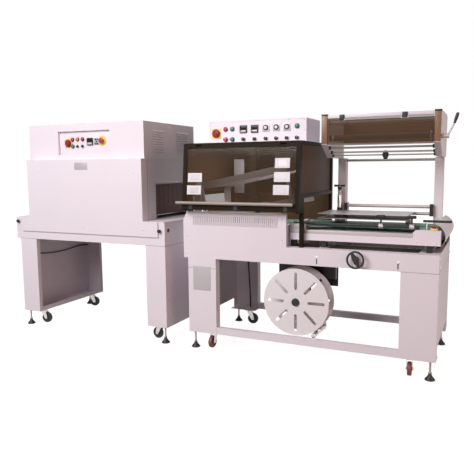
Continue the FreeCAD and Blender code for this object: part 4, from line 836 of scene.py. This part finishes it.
makeTunnelPanel(tunnelPanel)
print("control panels fitted")


# Casters and levelling feet
caster = {"r": 40, "tread": 30, "width": 26, "hub": 14.7, "redCount": 2, "boltReach": 18.5}


def rollAxis(index):
    joint = joints[f"caster_roll_{index}"]
    return Vector(joint["pos_m"]), Vector(joint["axis"])


def makeWheels(c):
    half = c["width"] / 2
    flank = [(c["tread"], half - 2), (c["r"] - 6, half), (c["r"] - 1.5, half - 3), (c["r"], half * 0.4)]
    tread = [(r, -along) for r, along in flank] + flank[::-1]
    for index in casters:
        place, axis = rollAxis(index)
        bm = bmesh.new()
        addTurned(bm, tread, place, axis, 0, 48)
        for side in (-1, 1):
            disc = [(c["tread"] + 0.5, side * (half - 2.2)), (c["tread"] - 3, side * (half - 5)),
                    (15, side * (half - 4)), (11, side * (half - 1)), (9.5, side * c["hub"]),
                    (5, side * c["hub"]), (4.6, side * (c["hub"] - 1.2)), (0, side * (c["hub"] - 1.2))]
            addTurned(bm, disc, place, axis, 1, 36)
        # only the sealer's two front casters have red treads
        red = index <= c["redCount"]
        look, stuff = ("treadRed", "red_rubber") if red else ("treadBlack", "caster_tread")
        finishPiece(f"caster_wheel_{index}_tyre", bm, [look, "blackPlastic"], f"caster_wheel_{index}",
                    [f"caster_wheel_{index}"])


def makeForkDetails(c):
    # axle bolt heads on both sides of each fork
    for index in casters:
        place, axis = rollAxis(index)
        bm = bmesh.new()
        for side in (-1, 1):
            addHexBolt(bm, place + axis * side * c["boltReach"] * mm, axis * side, 6.5, 4.5, 0)
        finishPiece(f"caster_fork_{index}_bolts", bm, ["zinc"], f"caster_fork_{index}")


foot = {"r": 29, "height": 36, "stem": 6, "top": 111, "pitch": 3.2,
        "places": [(-1512, 30), (-30, 30), (-1512, 719), (-30, 719), (-2955, 20), (-1741, 20), (-2955, 710),
                   (-1741, 710)]}


def makeFeet(p):
    bm = bmesh.new()
    for x, y in p["places"]:
        place, up = at(x, y, 0), facing["up"]
        pad = [(p["r"] - 2, 0), (p["r"], 1.5), (p["r"], 4), (p["r"] - 4, 10), (15, 22), (10, p["height"] - 4),
               (9, p["height"]), (p["stem"], p["height"])]
        addTurned(bm, [(0, 0)] + pad, place, up, 0, 36)
        stem = [(p["stem"], p["height"] - 1)]
        for turn in range(int((p["top"] - p["height"]) / p["pitch"])):
            z = p["height"] + turn * p["pitch"]
            stem += [(p["stem"] - 0.7, z + 0.8), (p["stem"], z + 2.4)]
        stem += [(p["stem"], p["top"]), (0, p["top"])]
        addTurned(bm, stem, place, up, 1, 20)
        for z, r, tall in ((p["height"] + 1, 10.5, 7), (p["top"] - 10, 11.5, 9)):
            nut = [(p["stem"], z), (r * 0.86, z), (r, z + 1.2), (r, z + tall - 1.2), (r * 0.86, z + tall),
                   (p["stem"], z + tall)]
            addTurned(bm, nut, place, up, 1, 6)
    finishPiece("levelling_feet_pads", bm, ["blackPlastic", "darkRod"], "root",
                ["levelling_feet"])


makeWheels(caster)
makeForkDetails(caster)
makeFeet(foot)


# Handwheel on the front beam
handwheel = {"x": -443, "y": -38, "z": 660, "r": 52, "rim": 6, "shaft": 8, "lean": 62}


def makeHandwheel(p):
    bm = bmesh.new()
    middle = at(p["x"], p["y"], p["z"])
    reach = p["r"] - p["rim"]
    rings, steps = 64, 14
    part = bmesh.new()
    loops = []
    for index in range(rings):
        angle = 2 * math.pi * index / rings
        out = Vector((math.cos(angle), 0, math.sin(angle)))
        grip = p["rim"] * (1 - 0.05 * (index % 4 == 0))
        loop = []
        for k in range(steps):
            lap = 2 * math.pi * k / steps
            spot = out * (reach + grip * math.cos(lap)) + Vector((0, grip * math.sin(lap), 0))
            loop.append(part.verts.new(middle + spot * mm))
        loops.append(loop)
    skin(part, loops + loops[:1])
    faceOut(part)
    pour(bm, part, 0)
    # one broad spoke across the rim
    lean = Matrix.Rotation(math.radians(p["lean"]), 4, "Y")
    spoke = bmesh.new()
    outline = [(-reach, -6), (-14, -15), (14, -15), (reach, -6), (reach, 6), (14, 15), (-14, 15), (-reach, 6)]
    layers = [[spoke.verts.new(middle + lean @ (Vector((u, y, w)) * mm)) for u, w in outline]
              for y in (-6, 3)]
    spoke.faces.new(layers[0])
    spoke.faces.new(layers[1])
    skin(spoke, layers)
    faceOut(spoke)
    soften(spoke, 1.8, 3)
    pour(bm, spoke, 0)
    hub = [(8, 28), (16, 28), (17, 20), (15, 9), (15, -6), (13.5, -8.5), (11, -8.5)]
    axis = facing["back"]
    addTurned(bm, hub, middle, axis, 0, 40)
    addTurned(bm, [(11, -8.4), (10.4, -9), (0, -9)], middle, axis, 1, 32)
    addTurned(bm, [(p["shaft"], 20), (p["shaft"], 90), (0, 90)], middle, axis, 2, 24)
    finishPiece("handwheel_rim", bm, ["blackPlastic", "black", "steel"], "handwheel",
                ["handwheel"])


makeHandwheel(handwheel)


# Tension lever on the right unwinder head
lever = {"x": (-28.7, 11.3), "y": 185, "z": 1346, "hub": 14, "rod": 5, "knee": (36, 1413), "tip": (53, 1470),
         "grip": 9, "pin": 40}


def makeLever(p):
    bm = bmesh.new()
    start, end = at(p["x"][0], p["y"], p["z"]), at(p["x"][1], p["y"], p["z"])
    hub = [(0, 0), (p["hub"] - 1, 0), (p["hub"], 1), (p["hub"], 12), (p["hub"] - 3, 14), (p["hub"] - 3, 26),
           (p["hub"], 28), (p["hub"], 39), (p["hub"] - 1, 40), (0, 40)]
    addTurned(bm, hub, start, end - start, 0, 32)
    addRod(bm, start - Vector((p["pin"] * mm, 0, 0)), start, 7, 0, 0.2)
    knee, tip = at(p["knee"][0], p["y"], p["knee"][1]), at(p["tip"][0], p["y"], p["tip"][1])
    bend = at(p["x"][1] - p["rod"] - 2, p["y"], p["z"])
    addRod(bm, bend, knee + (tip - knee) * 0.05, p["rod"], 1, 0.6, 20)
    length = (tip - knee).length / mm
    r = p["grip"]
    grip = [(p["rod"], 0), (r * 0.78, 0), (r * 0.86, 2), (r * 0.72, 5), (r * 0.9, length * 0.3),
            (r, length * 0.6), (r * 0.96, length * 0.86), (r * 0.7, length - 2), (r * 0.3, length),
            (0, length)]
    addTurned(bm, grip, knee, tip - knee, 2, 28)
    finishPiece("tension_lever_grip", bm, ["roller", "roller", "blackPlastic"], "tension_lever",
                ["tension_lever"])


makeLever(lever)


# Guide shaft, clamps and height screw above the infeed
adjusters = {"shaftY": 96, "shaftZ": 845, "shaftR": 8, "shaftX": (-866, -118), "clamps": (-330, -160),
             "clampR": 15, "screw": (-661, 446, 904, 1060, 8), "thread": 4, "cross": (-100, 50, 92, 880),
             "standX": -80, "railTop": 831}


def makeAdjusters(p):
    names = ["steel", "blackPlastic", "roller"]
    steel, black, pale = range(len(names))
    along, up = facing["right"], facing["up"]
    bm = bmesh.new()
    y, z, r = p["shaftY"], p["shaftZ"], p["shaftR"]
    left, right = p["shaftX"]
    addRod(bm, at(left, y, z), at(right, y, z), r, black, 1, 28)
    addBlock(bm, (left, left + 20), (62, y + 12), (809, z + r + 3), 1.6, pale)
    addBlock(bm, (right - 20, right), (y - 12, y + 12), (p["railTop"], z + r + 3), 1.6, black)
    hold = p["clampR"]
    collar = [(r + 0.2, 0), (hold - 1, 0), (hold, 1), (hold, 23), (hold - 1, 24), (r + 0.2, 24)]
    for x in p["clamps"]:
        addTurned(bm, collar, at(x - 12, y, z), along, pale, 32)
        addRod(bm, at(x, y, z + hold - 2), at(x, y, z + hold + 34), 5, black, 0.6)
        addBlock(bm, (x - 24, x + 24), (y - 8, y + 8), (z + hold + 30, z + hold + 48), 6, black, 4)
        addRod(bm, at(x + 12, y - hold, z), at(x + 12, y - hold + 2, z), 4, steel, 0.4)
    # height screw with its nut, foot and tee handle
    x, y, lowZ, topZ, r = p["screw"]
    base, top = at(x, y, lowZ), at(x, y, topZ)
    spindle = [(r, 0)]
    for turn in range(int((topZ - lowZ - 30) / p["thread"])):
        rise = 16 + turn * p["thread"]
        spindle += [(r - 1.1, rise + 1), (r, rise + 3)]
    spindle += [(r, topZ - lowZ - 2)]
    addTurned(bm, spindle, base, up, steel, 24)
    addTurned(bm, [(r, 16), (13, 16), (13, 96), (12, 98), (r, 98)], base, up, steel, 32)
    addTurned(bm, [(r, 0), (r * 2, 0), (r * 2, 13), (r * 1.7, 16), (r, 16)], base, up, black, 32)
    addTurned(bm, [(r, -26), (r * 1.5, -24), (r * 1.6, -12), (r * 1.3, -6), (0, -5)], top, up, black, 28)
    tee = [(0, 0), (r * 0.7, 0), (r, 3), (r * 0.8, 14), (r * 0.8, 56), (r, 67), (r * 0.7, 70), (0, 70)]
    addTurned(bm, tee, at(x - 35, y, topZ), along, black, 28)
    left, right, y, z = p["cross"]
    addRod(bm, at(p["standX"], y, p["railTop"]), at(p["standX"], y, z), 6, steel, 0.4)
    addRod(bm, at(left, y, z), at(right, y, z), 7, black, 2.5, 24)
    finishPiece("guide_adjusters", bm, names, "root", ["adjuster_clamps"])


makeAdjusters(adjusters)


# Film unwinder between the two heads
unwinder = {
    "x": (-666, -63), "headTop": 1488, "flapLow": 1309, "flapTop": 1458, "topBarY": (152, 164),
    "rods": ((200, 1293, 6), (245, 1268, 5), (278, 1250, 4), (200, 1440, 10), (215, 1352, 18)),
    "disc": (-345, 26), "teeth": 30, "toothDepth": 1.6, "hinges": (-578, -222), "hingeWidth": 30,
    "back": (525, 1222, 8), "backX": (-636, -86), "lowBarY": (160, 172),
}


def addToothedDisc(bm, middle, p, mat):
    # the disc that pricks the film, with blunt teeth round its rim
    r, corners = p["disc"][1], 2 * p["teeth"]
    part = bmesh.new()
    rings = []
    for along, outer in ((-12, r - 5), (-8, r), (8, r), (12, r - 5)):
        ring = []
        for k in range(corners):
            reach, lap = outer - p["toothDepth"] * (k % 2), 2 * math.pi * k / corners
            spot = Vector((along, reach * math.cos(lap), reach * math.sin(lap)))
            ring.append(part.verts.new(middle + spot * mm))
        rings.append(ring)
    skin(part, rings)
    part.faces.new(rings[0])
    part.faces.new(rings[-1])
    faceOut(part)
    pour(bm, part, mat)


def makeUnwinder(p):
    names = ["paint", "darkRod", "blackPlastic", "dark", "zinc"]
    paint, rod, black, dark, zinc = range(len(names))
    bm = bmesh.new()
    left, right = p["x"]
    barFront = p["topBarY"][0]
    addBlock(bm, p["x"], p["topBarY"], (p["flapTop"] + 6, p["headTop"] - 4), 1.0, paint)
    addBlock(bm, p["x"], p["lowBarY"], (p["flapLow"] - 3, p["flapLow"] + 9), 1.0, paint)
    for index, (y, z, r) in enumerate(p["rods"]):
        addRod(bm, at(left, y, z), at(right, y, z), r, black if index == 4 else rod, 0.4, 28)
        if index < 3:
            collar = [(r, 0), (r + 5, 0), (r + 5, 9), (r + 3.5, 11), (r, 11)]
            for x, way in ((left, 1), (right, -1)):
                addTurned(bm, collar, at(x, y, z), (way, 0, 0), black, 24)
    y, z, r = p["rods"][4]
    for x, way in ((left + 24, 1), (right - 24, -1)):
        # end flanges of the wide roller
        addTurned(bm, [(r, -3), (r + 8, -3), (r + 8, 0), (r, 1)], at(x, y, z), (way, 0, 0), zinc, 36)
    y, z, r = p["rods"][2]
    middle = at(p["disc"][0], y, z)
    addToothedDisc(bm, middle, p, dark)
    for way in (-1, 1):
        addTurned(bm, [(r, 18), (8, 18), (12, 15), (13, 11)], middle, (way, 0, 0), black, 32)
    y, z, r = p["back"]
    addRod(bm, at(p["backX"][0], y, z), at(p["backX"][1], y, z), r, rod, 0.6, 24)
    axisY = barFront - 6 - 4.5
    half = p["hingeWidth"] / 2
    roll = [(3.2, 0), (6, 0), (6.4, 1), (6.4, 29), (6, 30), (3.2, 30)]
    for x in p["hinges"]:
        span = (x - half, x + half)
        addBlock(bm, span, (barFront - 4, barFront), (p["flapTop"], p["headTop"] - 4), 1.0, black)
        addBlock(bm, span, (axisY, barFront - 2), (p["flapTop"] - 1, p["flapTop"] + 6), 1.0, black)
        addTurned(bm, roll, at(x - half, axisY, p["flapTop"]), facing["right"], black, 28)
    finishPiece("unwinder_rollers", bm, names, "root", ["unwinder_bars"])


makeUnwinder(unwinder)

heads = {"x": ((-700, -666), (-63, -29)), "front": 150, "knee": 1313, "top": 1488, "screwY": 250}


def makeHeadTrim(p):
    bm = bmesh.new()
    for left, right in p["x"]:
        # tan front strips and black top caps
        front, seam, top = p["front"], p["top"] - 9, p["top"] + 1.5
        addBlock(bm, (left - 0.4, right + 0.4), (front - 2, front + 10), (p["knee"] + 3, seam), 0.8, 0)
        addBlock(bm, (left - 2, right + 2), (front - 3, front + 16), (seam, top), 2.2, 1)
        for z in (p["knee"] + 20, p["knee"] - 8):
            for x, side in ((left - 0.2, "left"), (right + 0.2, "right")):
                addPanScrew(bm, at(x, p["screwY"], z), facing[side], 3, 2, 3)
    finishPiece("head_front_strips", bm, ["tan", "blackPlastic", "zinc", "dark"], "root")


makeHeadTrim(heads)
print("wheels, feet, handwheel, lever and unwinder made")


# Screws and bolts over the sheet metal
screws = {
    # side the heads face, head radius, places
    "vent_cover": ("front", 4.5, [(x, 0, z) for x in (-1545, -890) for z in (745, 872)]),
    "tunnel_front_cover": ("front", 5, [(-2776, -20, 1171), (-1973, -20, 1172), (-2873, -20, 773),
                                        (-2377, -20, 773), (-1872, -20, 773)]),
    "tunnel_chamber": ("right", 8, [(-1889, y, z) for y in (50, 690) for z in (1228, 1036, 838)]),
    "tunnel_legs": ("right", 5, [(-1711, 14, z) for z in (640, 546, 300)]),
    "tunnel_hood": ("right", 4.5, [(-1889, y, 1470) for y in (60, 380, 700)]),
    "sealer_apron": ("front", 5, [(-1540, 0, 560), (-1540, 0, 640)]),
}


def makeScrews(table):
    for node, (side, r, places) in table.items():
        bm = bmesh.new()
        for place in places:
            addPanScrew(bm, at(*place), facing[side], r, 0, 1)
        finishPiece(f"{node}_screws", bm, ["zinc", "dark"], "root")


bolts = {
    "post_foot_bolts": ("front", 8, [(x, 500, z) for x in (-661, -61) for z in (725, 765)]),
    "beam_end_bolts": ("right", 9, [(0, y, z) for y in (60, 690) for z in (630, 680)]),
}


def makeBolts(table):
    for name, (side, r, places) in table.items():
        bm = bmesh.new()
        for place in places:
            addHexBolt(bm, at(*place), facing[side], r, 5.5, 0)
        finishPiece(name, bm, ["zinc"], "root")


makeScrews(screws)
makeBolts(bolts)


# Blank plates and screws on the smoked door
def unproject(u, v, plane):
    # where the camera's line through a photo pixel meets the door's front plane
    camera = bpy.context.scene.camera
    turn = camera.matrix_world
    focal = camera.data.lens / camera.data.sensor_width
    ray = turn.to_3x3() @ Vector((u / photoSize - 0.5, 0.5 - v / photoSize, -focal))
    point, normal = plane
    start = turn.translation
    return start + ray * ((point - start).dot(normal) / ray.dot(normal))


doorPlates = {
    # left, top, right and bottom of each plate and the middle of each screw, in the photo's pixels
    "plates": [(188, 173, 202, 182), (187, 185.5, 201, 194.5), (275, 158, 290, 168), (274, 172, 290, 182),
               (273, 185, 289, 195)],
    "screws": [(183.4, 171), (295.5, 171)], "thickness": 1.2, "border": 0.18,
}


def doorPlane():
    low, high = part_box("door_pane")
    verts = [v.co for v in nodes["door_pane"].data.vertices]
    top = min((v for v in verts if v.z > high.z - 0.004), key=lambda v: v.y)
    bottom = min((v for v in verts if v.z < low.z + 0.004), key=lambda v: v.y)
    down = (bottom - top).normalized()
    normal = Vector((1, 0, 0)).cross(down).normalized()
    if normal.y > 0:
        normal.negate()
    return top, normal


def makeDoorPlates(p):
    plane = doorPlane()
    normal = plane[1]
    bm = bmesh.new()
    for x0, y0, x1, y1 in p["plates"]:
        corners = [unproject(u, v, plane) for u, v in ((x0, y0), (x1, y0), (x1, y1), (x0, y1))]
        left = (corners[0].x + corners[3].x) / 2
        right = (corners[1].x + corners[2].x) / 2
        head, tail = (corners[0] + corners[1]) / 2, (corners[2] + corners[3]) / 2
        span, tall = right - left, tail - head
        for inset, finish, rise in ((0.0, 0, p["thickness"]), (p["border"], 1, p["thickness"] + 0.5)):
            part = bmesh.new()
            far = 1 - inset
            base = [Vector((left + span * a, head.y + tall.y * b, head.z + tall.z * b))
                    for a, b in ((inset, inset), (far, inset), (far, far), (inset, far))]
            back = [part.verts.new(v + normal * 0.0001) for v in base]
            front = [part.verts.new(v + normal * rise * mm) for v in base]
            part.faces.new(back)
            part.faces.new(front)
            skin(part, [back, front])
            faceOut(part)
            soften(part, 0.3, 1)
            pour(bm, part, finish)
    for u, v in p["screws"]:
        addPanScrew(bm, unproject(u, v, plane), normal, 5, 2, 3)
    finishPiece("door_blank_plates", bm, ["label", "plateGrey", "zinc", "dark"], "hood_door")


makeDoorPlates(doorPlates)
print("screws, bolts and blank plates fitted")


# Small parts that the photo shows on the frames
detailNames = ["blackPlastic", "zinc", "dark", "plateGrey", "roller", "label", "tanBlock", "yellow", "red",
               "brass"]
black, zinc, dark, grey, alloy, pale, tan, yellow = range(8)

framePlates = {
    "keyholesX": (-678, -214), "boltZ": 655, "slotZ": (616, 652),
    "sealerPlate": ((-1506, -1378), (-1.2, 0.2), (394, 552)),
    "tunnelPlate": ((-2435, -2321), (-21.2, -19.8), (1175, 1225)),
    "foldedEdge": ((-1889.2, -1887), (8, 715), (1241, 1246)),
    "sideSeam": ((-1889.2, -1888.5), (70, 71.6), (800, 1240)),
    "sideLip": ((-1889.2, -1886), (160, 600), (1071, 1088)),
    "knobs": ((-2994, 796), (-1747, 768)), "sideKnob": (-1711, 34, 769),
}


def makeFramePlates(p):
    bm = bmesh.new()
    for x in p["keyholesX"]:
        addHexBolt(bm, at(x, -0.2, p["boltZ"]), facing["front"], 6.5, 4, zinc)
        # a dark block inside each keyhole slot: painted shade
        addBlock(bm, (x - 4.4, x + 4.4), (0.6, 1.4), p["slotZ"], 0.2, dark)
    addBlock(bm, *p["sealerPlate"], 0.5, grey)
    addBlock(bm, *p["tunnelPlate"], 0.5, grey)
    addBlock(bm, *p["foldedEdge"], 0.6, pale)
    addBlock(bm, *p["sideSeam"], 0, dark)
    addBlock(bm, *p["sideLip"], 1, pale)
    # tensioning knobs at both ends of the tunnel's deck
    knob = [(6, 0), (6, 6), (11, 7), (12, 9), (12, 17), (10.5, 19), (0, 19)]
    for x, z in p["knobs"]:
        addTurned(bm, knob, at(x, -10, z), facing["front"], black)
    addTurned(bm, [(0, 0), (13, 0), (13, 2), (9, 3), (0, 3)], at(*p["sideKnob"]), facing["right"], black)
    finishPiece("frame_plates_and_slots", bm, detailNames, "root")


reelCap = {"place": (-813, 19.9, 370),
           "profile": [(0, 9.4), (15, 9.4), (16, 8.6), (19, 8.6), (23.4, 6), (24, 2), (24, 0)]}


def makeReelCap(p):
    bm = bmesh.new()
    addTurned(bm, p["profile"], at(*p["place"]), facing["front"], black, 40)
    finishPiece("reel_axle_cap", bm, detailNames, "root")


stopPlace = (-39, 80, 831)  # middle of the infeed's emergency stop
edgeBar = {
    "bar": ((-866, -148), (61.4, 76.6), (786.6, 809.4)),
    "block": ((-866.4, -765.6), (61.2, 76.8), (809, 843.4)),
    "screws": [(x, 61.2, 826) for x in (-850, -820, -785)] + [(x, 60, 762) for x in (-128, -24)],
    "collar": [(9.4, 0), (23, 0), (23, 2), (22, 3), (20.5, 3.4), (19.6, 12.2), (9.4, 12.2)],
}


def makeEdgeBar(p):
    # aluminium edge bar with its end block, screws and the stop's yellow collar
    bm = bmesh.new()
    addBlock(bm, *p["bar"], 1.2, alloy)
    addBlock(bm, *p["block"], 1.6, alloy)
    for place in p["screws"]:
        addPanScrew(bm, at(*place), facing["front"], 4, zinc, dark)
    addTurned(bm, p["collar"], at(*stopPlace), facing["up"], yellow, 40)
    finishPiece("infeed_edge_bar", bm, detailNames, "root")


sealBlocks = {
    "clampY": (112, 150), "clampLow": 832,
    "clamps": ((-1480, -1262, 925), (-1232, -1122, 958), (-1078, -955, 965)),
    "standY": (96, 118), "standHalf": 11, "stands": ((-1248, 985), (-1100, 1000)),
    "plate": ((-1466, -1388), (556, 560), (1000, 1240)),
    "bracketX": (-1400, -1348), "bracketY": (560, 566), "bracketsZ": ((1030, 1060), (1180, 1210)),
    "springs": ((-840, 300), (-840, 420)), "springLow": 706, "springR": 11, "coilStep": 0.9,
    "rise": 1.3, "points": 56,
}


def makeSealBlocks(p):
    # clamp blocks on the fixed bar, a pale plate on two brackets and two springs
    bm = bmesh.new()
    for left, right, top in p["clamps"]:
        addBlock(bm, (left, right), p["clampY"], (p["clampLow"], top), 2, tan)
    for x, top in p["stands"]:
        addBlock(bm, (x - p["standHalf"], x + p["standHalf"]), p["standY"], (p["clampLow"], top), 1.5, black)
    addBlock(bm, *p["plate"], 1.2, pale)
    for span in p["bracketsZ"]:
        addBlock(bm, p["bracketX"], p["bracketY"], span, 1, black)
    for x, y in p["springs"]:
        coil = []
        for k in range(p["points"]):
            lap = k * p["coilStep"]
            swing = Vector((math.cos(lap), math.sin(lap), 0)) * p["springR"] * mm
            coil.append(at(x, y, p["springLow"]) + swing + Vector((0, 0, k * p["rise"] * mm)))
        addTube(bm, coil, 1.6, zinc, 8, 3)
    finishPiece("seal_station_blocks", bm, detailNames, "root")


hoodBack = {"x": (-1545, -775), "y": (686, 688), "z": (706, 1000), "screwsX": (-1520, -1160, -800),
            "screwR": 4.5}
backGuard = {"x": (-665, -64), "y": (540, 542), "z": (1328, 1484), "screwsX": (-645, -84), "screwR": 4}


def makeSmokedSheet(name, p):
    # thin sheet held by screws near its top and bottom edges
    bm = bmesh.new()
    addBlock(bm, p["x"], p["y"], p["z"], 0.5, 0)
    for x in p["screwsX"]:
        for z in (p["z"][0] + 15, p["z"][1] - 15):
            addPanScrew(bm, at(x, p["y"][1], z), facing["back"], p["screwR"], 1, 2)
    finishPiece(name, bm, ["smokeSide", "zinc", "dark"], "root")


makeSmokedSheet("hood_back_sheet", hoodBack)
makeSmokedSheet("unwinder_back_guard", backGuard)


def makeStopHead():
    bm = bmesh.new()
    place = at(*stopPlace)
    top = (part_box("infeed_estop")[1].z - place.z) / mm
    addTurned(bm, [(8.8, 0.5), (8.8, top - 9)], place, facing["up"], 1)
    head = [(8, top - 12), (16, top - 12), (18, top - 9), (17.6, top - 4), (14, top - 1), (9, top), (0, top)]
    addTurned(bm, head, place, facing["up"], 0, 40)
    finishPiece("infeed_estop_head", bm, ["red", "blackPlastic"], "infeed_estop",
                ["infeed_estop"])


seams = {"front": [((-2985, -2832), -10, 667), ((-1864, -1711), -10, 667), ((-200, 0), 0, 604),
                   ((-1542, -1342), 0, 540)],
         "right": [((-10, 740), -1711, 667), ((0, 749), 0, 604)], "width": 1.6}


def makeSeams(p):
    # dark joints between the top frames and the legs
    bm = bmesh.new()
    half = p["width"] / 2
    for x, y, z in p["front"]:
        addBlock(bm, x, (y - 0.25, y + 0.25), (z - half, z + half), 0, 0)
    for y, x, z in p["right"]:
        addBlock(bm, (x - 0.25, x + 0.25), y, (z - half, z + half), 0, 0)
    finishPiece("frame_joints", bm, ["dark"], "root")


makeSeams(seams)
makeFramePlates(framePlates)
makeReelCap(reelCap)
makeEdgeBar(edgeBar)
makeSealBlocks(sealBlocks)
makeStopHead()
print("small parts made")
